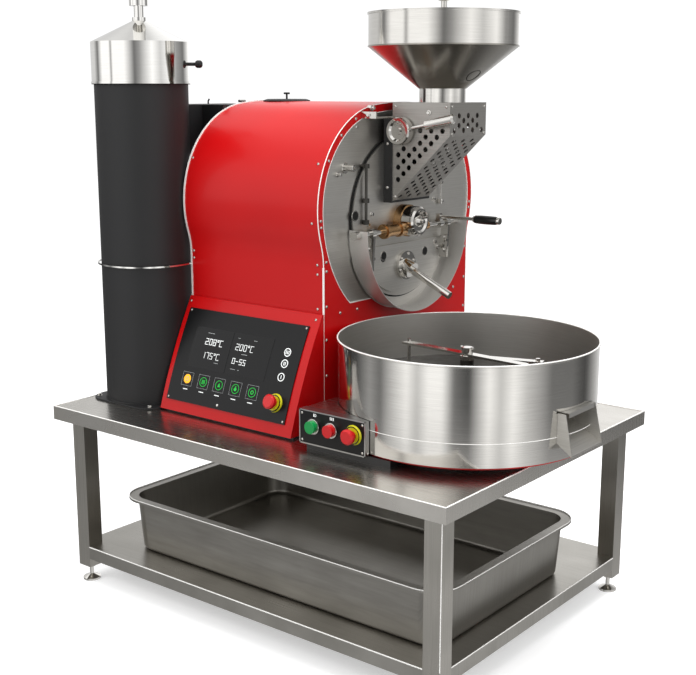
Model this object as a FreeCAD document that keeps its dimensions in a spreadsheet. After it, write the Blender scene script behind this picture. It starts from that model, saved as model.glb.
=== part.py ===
import FreeCAD, Part
import math
import os

import Sketcher

# Commercial coffee roaster on its table, in millimetres, +Z up.
# The origin is on the floor, under the middle of the whole machine.
# X runs along the table to the cooling bin, and Y runs from the operator to the back.

SIZES = (
    # Table
    ("table_length", 1400.0),
    ("table_depth", 1040.0),
    ("table_height", 550.0),
    ("apron_height", 40.0),
    ("apron_sheet", 3.0),
    ("leg_side", 50.0),
    ("leg_wall", 2.0),
    ("leg_inset_x", 36.0),
    ("leg_inset_y", 40.0),
    ("foot_height", 48.0),
    ("foot_radius", 26.0),
    ("foot_rim", 6.0),
    ("foot_cone_height", 16.0),
    ("foot_stem_radius", 6.0),
    ("foot_nut_radius", 12.0),
    ("foot_nut_height", 8.0),
    ("shelf_top_height", 115.0),
    ("shelf_thickness", 40.0),
    # Bean pan
    ("pan_length", 1170.0),
    ("pan_depth", 712.0),
    ("pan_height", 165.0),
    ("pan_flange", 26.0),
    ("pan_flange_thickness", 5.0),
    ("pan_taper", 10.0),
    ("pan_wall", 3.0),
    ("pan_corner", 85.0),
    ("pan_bottom_round", 14.0),
    ("pan_offset_x", 45.5),
    ("pan_offset_y", -70.0),
    # Roaster housing
    ("chute_overhang", 108.0),
    ("body_setback", 615.0),
    ("body_length", 507.0),
    ("drum_offset_y", 144.0),
    ("drum_rise", 550.0),
    ("body_half_width", 374.0),
    ("side_radius", 280.0),
    ("spring_rise", 50.0),
    ("crown_rise", 5.0),
    ("neck_radius", 200.0),
    ("wall_tuck", 24.0),
    ("shell_wall", 3.0),
    ("base_thickness", 6.0),
    ("base_margin", 12.0),
    ("frame_depth", 10.0),
    ("frame_band", 22.0),
    ("plate_drop", 211.0),
    ("plate_recess", 3.0),
    ("plate_thickness", 8.0),
    ("rear_panel_thickness", 4.0),
    # Front cover of the drum
    ("cover_rise", 12.0),
    ("cover_radius", 231.0),
    ("cover_thickness", 10.0),
    ("gasket_width", 2.5),
    ("gasket_thickness", 3.0),
    ("bulge_margin", 7.5),
    ("drum_opening_radius", 217.0),
    ("inlet_width", 120.0),
    ("inlet_low_rise", 80.0),
    ("inlet_high_rise", 200.0),
    ("outlet_radius", 205.0),
    ("outlet_top_drop", 92.0),
    ("outlet_bottom_drop", 195.0),
    # Drum and drive
    ("drum_radius", 212.0),
    ("drum_wall", 5.0),
    ("drum_front_gap", 3.0),
    ("drum_rear_room", 60.0),
    ("drum_head_thickness", 6.0),
    ("head_hole_radius", 18.0),
    ("head_hole_circle", 140.0),
    ("shaft_radius", 22.0),
    ("shaft_clearance", 0.05),
    ("spider_setback", 120.0),
    ("spider_thickness", 10.0),
    ("spider_width", 30.0),
    ("spider_hub_radius", 36.0),
    ("flight_height", 42.0),
    ("flight_thickness", 4.0),
    ("flight_end_gap", 16.0),
    ("gearbox_length", 110.0),
    ("gearbox_width", 130.0),
    ("gearbox_height", 150.0),
    ("gearbox_drop", 50.0),
    ("gearbox_flange_radius", 80.0),
    ("gearbox_flange_thickness", 12.0),
    ("motor_radius", 58.0),
    ("motor_length", 190.0),
    ("motor_rise", 45.0),
    ("terminal_box_side", 70.0),
    ("terminal_box_height", 32.0),
    ("burner_drop", 275.0),
    ("burner_pitch", 90.0),
    ("burner_radius", 14.0),
    ("burner_length", 380.0),
    ("manifold_side", 44.0),
    ("manifold_width", 260.0),
    # Front bearing
    ("bearing_radius", 46.0),
    ("bearing_length", 24.0),
    ("housing_radius", 43.0),
    ("housing_length", 30.0),
    ("nose_radius", 42.0),
    ("nose_length", 10.0),
    ("nose_gap", 0.6),
    ("nose_step", 5.0),
    ("bush_radius", 17.0),
    ("bush_radius_right", 12.0),
    ("bush_length_left", 92.0),
    ("bush_length_right", 40.0),
    ("bush_collar_radius", 21.0),
    ("bush_collar_length", 10.0),
    # Discharge door
    ("door_radius", 222.0),
    ("door_thickness", 8.0),
    ("door_top_drop", 64.0),
    ("door_gap", 0.3),
    ("stub_radius", 7.0),
    ("stub_clearance", 0.05),
    ("stub_forward", 28.0),
    ("stub_drop", 20.0),
    ("stub_left_reach", 265.0),
    ("stub_right_reach", 261.0),
    ("collar_radius", 12.0),
    ("collar_length", 20.0),
    ("arm_reach", 184.0),
    ("arm_thickness", 8.0),
    ("arm_boss_radius", 13.0),
    ("arm_boss_length", 16.0),
    ("arm_width", 22.0),
    ("arm_length", 105.0),
    ("port_reach", 103.0),
    ("port_drop", 100.0),
    ("port_radius", 11.0),
    ("lever_reach", 146.0),
    ("lever_hub_width", 14.0),
    ("lever_hub_radius", 13.0),
    ("lever_rise", 20.0),
    ("lever_rod_radius", 5.0),
    ("lever_rod_length", 124.0),
    ("grip_radius", 10.0),
    ("grip_length", 84.0),
    ("grip_socket", 20.0),
    ("grip_end_step", 2.0),
    # Sampler
    ("sampler_drop", 130.0),
    ("sampler_tilt", 25.0),
    ("sampler_radius", 11.0),
    ("sampler_bore", 8.0),
    ("sampler_outside", 176.0),
    ("sampler_inside", 84.0),
    ("sampler_flange_radius", 42.0),
    ("sampler_flange_thickness", 10.0),
    ("sampler_sleeve_radius", 24.0),
    ("sampler_sleeve_length", 22.0),
    ("sampler_hole_clearance", 0.05),
    ("scoop_cut_length", 70.0),
    # Trough
    ("trough_drop", 12.0),
    ("trough_back_radius", 240.0),
    ("trough_front_radius", 247.0),
    ("trough_length", 72.0),
    ("trough_wall", 2.0),
    ("trough_top_rise", 4.0),
    ("stub_hole_clearance", 1.0),
    # Clamps on the cover
    ("clamp_rod_radius", 4.0),
    ("clamp_rod_reach", 186.0),
    ("clamp_rod_low_rise", 4.0),
    ("clamp_rod_high_rise", 170.0),
    ("clamp_block_radius", 9.0),
    ("clamp_block_height", 12.0),
    ("clamp_middle_share", 0.36),
    ("clamp_top_share", 0.93),
    ("clamp_standoff", 10.0),
    # Feed box
    ("feed_spacer_depth", 28.0),
    ("feed_spacer_width", 186.0),
    ("feed_spacer_height", 238.0),
    ("feed_width", 180.0),
    ("feed_depth", 190.0),
    ("feed_front_height", 88.0),
    ("feed_back_height", 271.0),
    ("feed_wall", 2.0),
    ("feed_hole_radius", 7.5),
    ("feed_hole_margin", 16.0),
    ("feed_side_start", 20.0),
    ("feed_side_top_margin", 75.0),
    ("feed_side_low_margin", 20.0),
    ("feed_side_column_step", 18.3),
    ("feed_side_row_step", 17.0),
    ("feed_front_column_step", 45.0),
    ("feed_front_row_step", 13.0),
    ("feed_front_top_margin", 35.0),
    ("feed_floor_column_step", 45.0),
    ("feed_floor_row_step", 15.0),
    ("hub_forward", 36.0),
    ("hub_drop", 77.0),
    ("hub_radius", 38.0),
    ("hub_length", 29.0),
    ("hub_gap", 0.4),
    ("hub_rim", 5.0),
    ("gate_shaft_radius", 6.0),
    ("gate_shaft_clearance", 0.05),
    ("gate_length", 110.0),
    ("gate_width", 172.0),
    ("gate_thickness", 3.0),
    ("gate_angle", -46.0),
    ("feed_rod_radius", 5.0),
    ("feed_rod_length", 88.0),
    ("feed_grip_radius", 13.5),
    ("feed_grip_length", 94.0),
    ("feed_lever_angle", 11.4),
    ("stay_height", 18.0),
    ("stay_thickness", 5.0),
    ("stay_drop", 24.0),
    ("stay_reach", 100.0),
    # Hopper
    ("neck_forward", 104.0),
    ("neck_outer_radius", 64.5),
    ("neck_height", 36.0),
    ("hopper_wall", 2.0),
    ("hopper_cone_height", 113.0),
    ("hopper_radius", 206.0),
    ("hopper_band_height", 89.0),
    ("hopper_bead", 3.0),
    ("lid_thickness", 2.0),
    ("lid_clearance", 2.0),
    ("lid_crown", 14.0),
    ("lid_skirt", 10.0),
    ("lid_knob_radius", 17.0),
    ("lid_knob_height", 34.0),
    ("lid_knob_neck_share", 0.6),
    # Console
    ("console_front_depth", 142.0),
    ("console_top_depth", 6.0),
    ("console_rise", 6.0),
    ("console_top_rise", 322.0),
    ("console_wall", 3.0),
    ("console_bow", 8.0),
    ("panel_gap", 0.3),
    ("panel_width", 459.0),
    ("panel_height", 276.0),
    ("panel_bottom", 31.5),
    ("panel_right_margin", 29.0),
    ("panel_thickness", 3.0),
    ("console_stop_margin", 77.0),
    ("console_stop_rise", 84.0),
    # Push buttons
    ("stop_head_radius", 20.0),
    ("stop_head_height", 12.0),
    ("stop_head_edge", 4.0),
    ("stop_neck_radius", 11.0),
    ("stop_neck_height", 20.0),
    ("stop_ring_radius", 26.0),
    ("stop_ring_height", 5.0),
    ("button_clearance", 0.4),
    ("button_radius", 16.5),
    ("button_height", 24.0),
    ("button_depth", 10.0),
    ("button_travel", 3.0),
    # Control box
    ("box_gap", 64.0),
    ("box_length", 217.0),
    ("box_front_reach", 382.0),
    ("box_depth", 26.0),
    ("box_rise", 18.0),
    ("box_height", 92.0),
    ("box_wall", 3.0),
    ("box_face_thickness", 2.0),
    ("box_start_at", 50.5),
    ("box_halt_at", 109.5),
    ("box_stop_at", 178.5),
    ("box_button_rise", 52.0),
    ("blower_height", 90.0),
    ("blower_back_reach", 31.0),
    # Cooling bin
    ("bin_setback", 267.0),
    ("bin_offset_y", -29.0),
    ("bin_radius", 345.0),
    ("bin_wall", 2.0),
    ("bin_bead", 2.5),
    ("bin_base_rise", 25.0),
    ("bin_band_height", 61.0),
    ("bin_wall_height", 192.0),
    ("bin_floor_rise", 152.0),
    ("bin_floor_thickness", 2.0),
    ("bin_ring_radius", 334.0),
    ("bin_ring_height", 7.0),
    ("bin_pedestal_radius", 270.0),
    ("bin_base_sheet", 2.0),
    ("bin_gap", 2.0),
    # Chute
    ("chute_centre_y", -55.0),
    ("chute_back_half", 66.0),
    ("chute_lip_half", 80.0),
    ("chute_start", 219.5),
    ("chute_mouth", 353.0),
    ("chute_lip_drop", 108.0),
    ("chute_top_drop", 3.0),
    ("chute_wall", 2.0),
    ("chute_clearance", 0.5),
    ("trap_length", 84.0),
    ("gate_plate_thickness", 2.0),
    ("gate_plate_back", 60.0),
    ("gate_lip_height", 12.0),
    ("gate_slot", 0.8),
    # Agitator
    ("post_radius", 18.0),
    ("post_height", 64.0),
    ("agitator_bar_rise", 76.0),
    ("agitator_bar_reach", 217.0),
    ("agitator_bar_width", 26.0),
    ("agitator_bar_thickness", 6.0),
    ("agitator_angle", -5.0),
    ("agitator_arm_reach", 205.0),
    ("agitator_arm_thickness", 5.0),
    ("agitator_arm_angle", 17.0),
    ("agitator_arm_bolt_radius", 6.0),
    ("agitator_arm_bolt_height", 7.0),
    ("agitator_shaft_radius", 10.0),
    ("agitator_hub_radius", 19.0),
    ("agitator_nut_radius", 15.0),
    ("agitator_nut_height", 16.0),
    ("agitator_rod_radius", 5.0),
    ("agitator_rod_inset", 14.0),
    ("agitator_floor_gap", 6.0),
    ("agitator_gear_radius", 60.0),
    ("agitator_gear_height", 70.0),
    # Cyclone
    ("cyclone_gap", 1.0),
    ("cyclone_wall_offset", 48.0),
    ("cyclone_radius", 135.5),
    ("cyclone_wall", 3.0),
    ("cyclone_top_rise", 936.0),
    ("cyclone_flange_radius", 138.0),
    ("cyclone_flange_height", 12.0),
    ("hoop_rise", 415.0),
    ("hoop_radius", 146.0),
    ("hoop_bar", 4.5),
    ("cap_radius", 141.0),
    ("cap_flange_height", 6.0),
    ("cap_height", 111.0),
    ("cap_cone_height", 59.0),
    ("cap_wall", 2.0),
    ("flue_collar_radius", 20.0),
    ("flue_collar_height", 10.0),
    ("flue_neck_radius", 14.0),
    ("flue_neck_height", 32.0),
    ("flue_radius", 27.0),
    ("flue_height", 61.0),
    ("cap_knob_azimuth", 35.0),
    ("cap_knob_rise", 991.0),
    ("cap_knob_radius", 11.0),
    ("cap_knob_stem", 18.0),
    ("cap_knob_stem_radius", 5.0),
    ("cap_knob_step", 2.2),
    # Duct
    ("duct_length", 230.0),
    ("duct_front_reach", 204.0),
    ("duct_back_reach", 46.0),
    ("duct_low_rise", 725.0),
    ("duct_high_rise", 875.0),
    ("duct_branch_start", 88.0),
    ("duct_branch_length", 120.0),
    ("damper_setback", 28.0),
    ("damper_offset", 93.0),
    ("damper_spindle_radius", 4.0),
    ("damper_spindle_height", 10.0),
    ("damper_bar_length", 26.0),
    ("damper_bar_radius", 4.0),
    # Joining
    ("overrun", 1.0),
)

FLIGHTS = 6
SPIDER_ARMS = 3
HEAD_HOLES = 8
FRONT_HOLES = (3, 2, 3, 4)
FLOOR_HOLES = 4
PUNCH_SIDES = 12

document = FreeCAD.newDocument("coffee_roaster")
sheet = document.addObject("Spreadsheet::Sheet", "Sizes")
for row, (alias, size) in enumerate(SIZES, start=1):
    sheet.set(f"A{row}", alias)
    sheet.set(f"B{row}", str(size))
    sheet.setAlias(f"B{row}", alias)
document.recompute()


class Size:
    """A size as a formula over the sheet's cells, with the value it has now."""

    def __init__(self, formula, value):
        self.formula = formula
        self.value = value

    def __add__(self, other):
        other = as_size(other)
        return Size(f"({self.formula} + {other.formula})", self.value + other.value)

    def __sub__(self, other):
        other = as_size(other)
        return Size(f"({self.formula} - {other.formula})", self.value - other.value)

    def __mul__(self, other):
        other = as_size(other)
        return Size(f"({self.formula} * {other.formula})", self.value * other.value)

    def __truediv__(self, other):
        other = as_size(other)
        return Size(f"({self.formula} / {other.formula})", self.value / other.value)

    def __neg__(self):
        return Size(f"(0 - {self.formula})", -self.value)


def as_size(number):
    return number if isinstance(number, Size) else Size(str(number), float(number))


def root(size):
    return Size(f"sqrt({size.formula})", math.sqrt(size.value))


class Cells:
    """The sheet's cells, each as a Size under its alias."""


cell = Cells()
for alias, size in SIZES:
    setattr(cell, alias, Size(f"Sizes.{alias}", float(sheet.get(alias))))

ZERO = Size("0", 0.0)
NODES = {}

# Places that several pieces share
CYCLONE_SETBACK = cell.cyclone_gap + cell.cyclone_flange_radius
CYCLONE_INSET = cell.table_length - cell.body_setback - cell.body_length - CYCLONE_SETBACK
HOOP_OVERHANG = cell.hoop_radius - CYCLONE_INSET
OVERALL_LENGTH = cell.table_length + cell.chute_overhang + HOOP_OVERHANG
TABLE_LEFT = HOOP_OVERHANG - OVERALL_LENGTH / 2
TABLE_RIGHT = TABLE_LEFT + cell.table_length
TABLE_FRONT = -cell.table_depth / 2
TABLE_TOP = cell.table_height
BODY_FRONT = TABLE_RIGHT - cell.body_setback
BODY_REAR = BODY_FRONT - cell.body_length
BODY_BOTTOM = TABLE_TOP + cell.base_thickness
AXIS_Y = cell.drum_offset_y
AXIS_Z = TABLE_TOP + cell.drum_rise
SPRING_Z = AXIS_Z + cell.spring_rise
CROWN_Z = SPRING_Z + cell.side_radius + cell.crown_rise
WALL_REACH = cell.body_half_width - cell.wall_tuck
CONSOLE_REACH = WALL_REACH + cell.console_front_depth
PLATE_FRONT = BODY_FRONT - cell.plate_recess
PLATE_BACK = PLATE_FRONT - cell.plate_thickness
COVER_FRONT = PLATE_FRONT + cell.cover_thickness
COVER_Z = AXIS_Z + cell.cover_rise
BIN_X = TABLE_RIGHT - cell.bin_setback
BIN_Y = cell.bin_offset_y
BIN_Z = TABLE_TOP + cell.bin_base_rise
BIN_SEAM_Z = BIN_Z + cell.bin_band_height
BIN_FLOOR_Z = TABLE_TOP + cell.bin_floor_rise
CYCLONE_X = BODY_REAR - CYCLONE_SETBACK
CYCLONE_Y = AXIS_Y - WALL_REACH - cell.cyclone_wall_offset

TURNS = {
    "X": FreeCAD.Rotation(FreeCAD.Vector(0, 1, 0), 90),
    "Y": FreeCAD.Rotation(FreeCAD.Vector(1, 0, 0), -90),
    "Z": FreeCAD.Rotation(),
}


# Building blocks

def name_node(piece, label):
    """Marks a piece as one of the machine's sub-parts, under its own file name."""
    piece.Label = label
    NODES[label] = piece
    return piece


def place(piece, at, rotation=None):
    """Puts a piece at a place given by three sizes, turned if a rotation is given."""
    corner = FreeCAD.Vector(*(as_size(size).value for size in at))
    piece.Placement = FreeCAD.Placement(corner, rotation or FreeCAD.Rotation())
    for letter, size in zip("xyz", at):
        piece.setExpression(f"Placement.Base.{letter}", as_size(size).formula)
    return piece


def bind(piece, **sizes):
    """Ties a piece's own properties to sizes."""
    for name, size in sizes.items():
        piece.setExpression(name, as_size(size).formula)
    return piece


def block(at, length, width, height):
    piece = document.addObject("Part::Box", "block")
    bind(piece, Length=length, Width=width, Height=height)
    return place(piece, at)


def rod(at, radius, length, direction="Z", rotation=None):
    piece = document.addObject("Part::Cylinder", "rod")
    bind(piece, Radius=radius, Height=length)
    return place(piece, at, rotation or TURNS[direction])


def punch(at, radius, length, direction="Z", rotation=None):
    """A many-sided punch, which keeps a pattern of holes light."""
    piece = document.addObject("Part::Prism", "punch")
    piece.Polygon = PUNCH_SIDES
    bind(piece, Circumradius=radius, Height=length)
    return place(piece, at, rotation or TURNS[direction])


def cone(at, low_radius, high_radius, length, direction="Z"):
    piece = document.addObject("Part::Cone", "cone")
    bind(piece, Radius1=low_radius, Radius2=high_radius, Height=length)
    return place(piece, at, TURNS[direction])


def join(*pieces):
    piece = document.addObject("Part::MultiFuse", "join")
    piece.Shapes = list(pieces)
    piece.Refine = True
    return piece


def cut(base, *tools):
    piece = document.addObject("Part::Cut", "cut")
    piece.Base = base
    piece.Tool = tools[0] if len(tools) == 1 else join(*tools)
    piece.Refine = True
    return piece


def overlap(first, second):
    piece = document.addObject("Part::Common", "overlap")
    piece.Base = first
    piece.Tool = second
    return piece


def group(*pieces):
    """Separate solids that share one node."""
    piece = document.addObject("Part::Compound", "group")
    piece.Links = list(pieces)
    return piece


def tube(at, radius, bore, length, direction="Z"):
    """A tube whose bore runs past both ends."""
    x, y, z = at
    start = {
        "X": (x - cell.overrun, y, z),
        "Y": (x, y - cell.overrun, z),
        "Z": (x, y, z - cell.overrun),
    }[direction]
    hole = rod(start, bore, length + cell.overrun * 2, direction)
    return cut(rod(at, radius, length, direction), hole)


def new_sketch(body, role):
    sketch = body.newObject("Sketcher::SketchObject", "outline")
    plane = next(item for item in body.Origin.OriginFeatures if item.Role == role)
    sketch.AttachmentSupport = [(plane, "")]
    sketch.MapMode = "FlatFace"
    return sketch


def tie(sketch, constraint, size):
    number = sketch.addConstraint(constraint)
    sketch.setExpression(f"Constraints[{number}]", as_size(size).formula)


def draw_polygon(sketch, corners):
    """Draws a closed outline of straight lines, each corner tied to its two sizes."""
    points = [FreeCAD.Vector(as_size(x).value, as_size(y).value, 0) for x, y in corners]
    count = len(points)
    for index, point in enumerate(points):
        sketch.addGeometry(Part.LineSegment(point, points[(index + 1) % count]))
    for index in range(count):
        sketch.addConstraint(
            Sketcher.Constraint("Coincident", index, 2, (index + 1) % count, 1)
        )
    for index, (x, y) in enumerate(corners):
        point = points[index]
        for kind, size, value in (("DistanceX", x, point.x), ("DistanceY", y, point.y)):
            tie(sketch, Sketcher.Constraint(kind, -1, 1, index, 1, value), size)


def pad(role, corners, thickness, at, rotation=None):
    """A plate with a straight-sided outline, thick along its plane's normal."""
    body = document.addObject("PartDesign::Body", "plate")
    sketch = new_sketch(body, role)
    draw_polygon(sketch, corners)
    feature = body.newObject("PartDesign::Pad", "thickness")
    feature.Profile = sketch
    feature.Length = as_size(thickness).value
    bind(feature, Length=thickness)
    return place(body, at, rotation)


def turned(outline, at, direction="Z", rotation=None):
    """A piece turned on its own Z axis from an outline of (radius, height) corners."""
    body = document.addObject("PartDesign::Body", "turned")
    sketch = new_sketch(body, "XZ_Plane")
    draw_polygon(sketch, outline)
    feature = body.newObject("PartDesign::Revolution", "turn")
    feature.Profile = sketch
    feature.ReferenceAxis = (sketch, ["V_Axis"])
    feature.Angle = 360
    return place(body, at, rotation or TURNS[direction])


def arc_about(centre, radius, start, end):
    circle = Part.Circle(centre, FreeCAD.Vector(0, 0, 1), radius)
    return Part.ArcOfCircle(circle, start, end)


# Housing outline: a flat crown, two round sides and two hollow necks over straight walls

class HousingOutline:
    """The housing's section across X, measured from the drum's axis, drawn in by an inset."""

    def __init__(self, inset):
        self.side = cell.side_radius - inset
        self.side_offset = cell.body_half_width - cell.side_radius
        self.half_width = cell.body_half_width - inset
        self.neck = cell.neck_radius + inset
        self.wall = WALL_REACH - inset
        rise = cell.crown_rise
        offset = self.side_offset
        self.crown_centre = cell.spring_rise + rise / 2 - offset * offset / (rise * 2)
        self.crown = cell.side_radius + rise / 2 + offset * offset / (rise * 2) - inset
        reach = self.side + self.neck
        across = reach - cell.wall_tuck
        self.neck_drop = root(reach * reach - across * across)
        self.neck_centre = WALL_REACH + cell.neck_radius
        self.bottom = BODY_BOTTOM - AXIS_Z

    def crown_edge(self):
        """The crown's arc, and the angle at which each round side starts."""
        spring = cell.spring_rise.value
        drop = spring - self.crown_centre.value
        angle = math.atan2(drop, self.side_offset.value)
        centre = FreeCAD.Vector(0, self.crown_centre.value, 0)
        return arc_about(centre, self.crown.value, angle, math.pi - angle), angle

    def draw_whole(self, sketch):
        """The closed section from the straight walls' feet to the crown."""
        spring = cell.spring_rise.value
        offset = self.side_offset.value
        crown, crown_angle = self.crown_edge()
        dip = math.atan2(self.neck_drop.value, self.neck_centre.value - offset)
        right = FreeCAD.Vector(offset, spring, 0)
        left = FreeCAD.Vector(-offset, spring, 0)
        neck_z = spring - self.neck_drop.value
        neck_right = FreeCAD.Vector(self.neck_centre.value, neck_z, 0)
        neck_left = FreeCAD.Vector(-self.neck_centre.value, neck_z, 0)
        radius, neck = self.side.value, self.neck.value
        arcs = (
            (crown, self.crown),
            (arc_about(right, radius, -dip, crown_angle), self.side),
            (arc_about(left, radius, math.pi - crown_angle, math.pi + dip), self.side),
            (arc_about(neck_right, neck, math.pi - dip, math.pi), self.neck),
            (arc_about(neck_left, neck, 0, dip), self.neck),
        )
        for number, (arc, size) in enumerate(arcs):
            sketch.addGeometry(arc)
            tie(sketch, Sketcher.Constraint("Radius", number, size.value), size)
        wall, bottom = self.wall.value, self.bottom.value
        feet = [FreeCAD.Vector(side * wall, bottom, 0) for side in (-1, 1)]
        heads = [FreeCAD.Vector(side * wall, neck_z, 0) for side in (-1, 1)]
        sketch.addGeometry(Part.LineSegment(heads[0], feet[0]))
        sketch.addGeometry(Part.LineSegment(feet[0], feet[1]))
        sketch.addGeometry(Part.LineSegment(feet[1], heads[1]))

    def draw_plate(self, sketch):
        """The front plate's outline: the crown, the round sides and a round foot cut flat."""
        spring = cell.spring_rise.value
        offset = self.side_offset.value
        crown, crown_angle = self.crown_edge()
        half = self.half_width.value
        drop = math.asin((spring + cell.plate_drop.value) / half)
        right = FreeCAD.Vector(offset, spring, 0)
        left = FreeCAD.Vector(-offset, spring, 0)
        middle = FreeCAD.Vector(0, spring, 0)
        radius = self.side.value
        arcs = (
            (crown, self.crown),
            (arc_about(right, radius, 0, crown_angle), self.side),
            (arc_about(left, radius, math.pi - crown_angle, math.pi), self.side),
            (arc_about(middle, half, -drop, 0), self.half_width),
            (arc_about(middle, half, math.pi, math.pi + drop), self.half_width),
        )
        for number, (arc, size) in enumerate(arcs):
            sketch.addGeometry(arc)
            tie(sketch, Sketcher.Constraint("Radius", number, size.value), size)
        foot = half * math.cos(drop)
        level = -cell.plate_drop.value
        corners = [FreeCAD.Vector(side * foot, level, 0) for side in (-1, 1)]
        sketch.addGeometry(Part.LineSegment(*corners))


def housing_slice(inset, back, front, whole=True):
    """The housing's section with an inset, solid between two places along X."""
    body = document.addObject("PartDesign::Body", "housing_slice")
    sketch = new_sketch(body, "YZ_Plane")
    outline = HousingOutline(inset)
    if whole:
        outline.draw_whole(sketch)
    else:
        outline.draw_plate(sketch)
    feature = body.newObject("PartDesign::Pad", "depth")
    feature.Profile = sketch
    feature.Length = (front - back).value
    bind(feature, Length=front - back)
    return place(body, (back, AXIS_Y, AXIS_Z))


# Table

def table_top():
    """A sheet folded down into an apron on all four sides, open underneath."""
    low = TABLE_TOP - cell.apron_height
    slab = block((TABLE_LEFT, TABLE_FRONT, low), cell.table_length, cell.table_depth,
                 cell.apron_height)
    wall = cell.apron_sheet
    pocket = block((TABLE_LEFT + wall, TABLE_FRONT + wall, low - wall),
                   cell.table_length - wall * 2, cell.table_depth - wall * 2,
                   cell.apron_height)
    name_node(cut(slab, pocket), "table_top")


def leg_corners():
    """The four legs' corners nearest the front left."""
    left = TABLE_LEFT + cell.leg_inset_x
    right = TABLE_RIGHT - cell.leg_inset_x - cell.leg_side
    front = TABLE_FRONT + cell.leg_inset_y
    back = -TABLE_FRONT - cell.leg_inset_y - cell.leg_side
    return [(x, y) for x in (left, right) for y in (front, back)]


def table_legs():
    height = TABLE_TOP - cell.apron_sheet - cell.foot_height
    legs = []
    for x, y in leg_corners():
        outside = block((x, y, cell.foot_height), cell.leg_side, cell.leg_side, height)
        wall = cell.leg_wall
        inner = cell.leg_side - wall * 2
        hollow = block((x + wall, y + wall, cell.foot_height + wall * 2), inner, inner, height)
        legs.append(cut(outside, hollow))
    name_node(group(*legs), "table_legs")


def levelling_feet():
    stem = cell.foot_stem_radius
    nut_low = cell.foot_height - cell.foot_nut_height
    outline = (
        (ZERO, ZERO),
        (cell.foot_radius, ZERO),
        (cell.foot_radius, cell.foot_rim),
        (stem, cell.foot_cone_height),
        (stem, nut_low),
        (cell.foot_nut_radius, nut_low),
        (cell.foot_nut_radius, cell.foot_height),
        (ZERO, cell.foot_height),
    )
    half = cell.leg_side / 2
    feet = [turned(outline, (x + half, y + half, ZERO)) for x, y in leg_corners()]
    name_node(group(*feet), "levelling_feet")


def lower_shelf():
    """A folded sheet shelf, notched round the four legs and open underneath."""
    low = cell.shelf_top_height - cell.shelf_thickness
    x, y = TABLE_LEFT + cell.leg_inset_x, TABLE_FRONT + cell.leg_inset_y
    slab = pad("XY_Plane", shelf_outline(ZERO), cell.shelf_thickness, (x, y, low))
    pocket = pad("XY_Plane", shelf_outline(cell.apron_sheet), cell.shelf_thickness,
                 (x, y, low - cell.apron_sheet))
    name_node(cut(slab, pocket), "lower_shelf")


def shelf_outline(inset):
    """The shelf's plan with a notch for each leg, drawn in by an inset."""
    length = cell.table_length - cell.leg_inset_x * 2
    depth = cell.table_depth - cell.leg_inset_y * 2
    near, side = inset, cell.leg_side + inset
    right, inner_right = length - near, length - side
    back, inner_back = depth - near, depth - side
    return (
        (side, near), (inner_right, near), (inner_right, side), (right, side),
        (right, inner_back), (inner_right, inner_back), (inner_right, back), (side, back),
        (side, inner_back), (near, inner_back), (near, side), (side, side),
    )


def rounded_rectangle(length, depth, corner, z):
    """A closed wire about the origin, with a quarter round at each corner."""
    x, y = length / 2, depth / 2
    edges = []
    quarters = ((1, 1, 0), (-1, 1, 1), (-1, -1, 2), (1, -1, 3))
    for side_x, side_y, turn in quarters:
        centre = FreeCAD.Vector(side_x * (x - corner), side_y * (y - corner), z)
        circle = Part.Circle(centre, FreeCAD.Vector(0, 0, 1), corner)
        start = turn * math.pi / 2
        edges.append(Part.Arc(circle, start, start + math.pi / 2).toShape())
    ring = []
    for index, arc in enumerate(edges):
        following = edges[(index + 1) % len(edges)]
        ring.append(arc)
        ring.append(Part.makeLine(arc.lastVertex().Point, following.firstVertex().Point))
    return Part.Wire(ring)


def tapered_tray(length, depth, corner, height, taper, bottom_round):
    """A solid that narrows towards its bottom, whose bottom edge is rounded."""
    low = rounded_rectangle(length - taper * 2, depth - taper * 2, corner, 0)
    high = rounded_rectangle(length, depth, corner, height)
    solid = Part.makeLoft([low, high], True, True)
    edges = [edge for edge in solid.Edges if abs(edge.BoundBox.ZMax) < cell.overrun.value / 2]
    return solid.makeFillet(bottom_round, edges)


def bean_pan():
    flange = cell.pan_flange.value
    wall = cell.pan_wall.value
    length = cell.pan_length.value - flange * 2
    depth = cell.pan_depth.value - flange * 2
    corner = cell.pan_corner.value - flange
    height = cell.pan_height.value
    taper = cell.pan_taper.value
    rounding = cell.pan_bottom_round.value
    outside = tapered_tray(length, depth, corner, height, taper, rounding)
    inside = tapered_tray(length - wall * 2, depth - wall * 2, corner - wall, height, taper,
                          rounding - wall)
    inside.translate(FreeCAD.Vector(0, 0, wall))
    rim_low = height - cell.pan_flange_thickness.value
    outer = rounded_rectangle(cell.pan_length.value, cell.pan_depth.value,
                              cell.pan_corner.value, rim_low)
    rim = Part.Face(outer).extrude(FreeCAD.Vector(0, 0, height - rim_low))
    pan = document.addObject("Part::Feature", "pan")
    pan.Shape = outside.fuse(rim).cut(inside).removeSplitter()
    middle = (TABLE_LEFT + TABLE_RIGHT) / 2 + cell.pan_offset_x
    place(pan, (middle, cell.pan_offset_y, cell.shelf_top_height))
    name_node(pan, "bean_pan")


# Roaster housing

def machine_base():
    margin = cell.base_margin
    left = BODY_REAR + margin
    front = AXIS_Y - CONSOLE_REACH + margin
    back = AXIS_Y + WALL_REACH - margin
    plate = block((left, front, TABLE_TOP), BODY_FRONT - left, back - front, cell.base_thickness)
    pedestal_height = cell.bin_base_rise - cell.bin_ring_height
    pedestal = rod((BIN_X, BIN_Y, TABLE_TOP), cell.bin_pedestal_radius, pedestal_height)
    box_left = BODY_FRONT + cell.box_gap + margin
    box_front = margin - cell.box_front_reach
    shelf = block((box_left, box_front, TABLE_TOP), BIN_X - box_left, BIN_Y - box_front,
                  pedestal_height)
    name_node(join(plate, pedestal, shelf), "machine_base")


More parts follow.
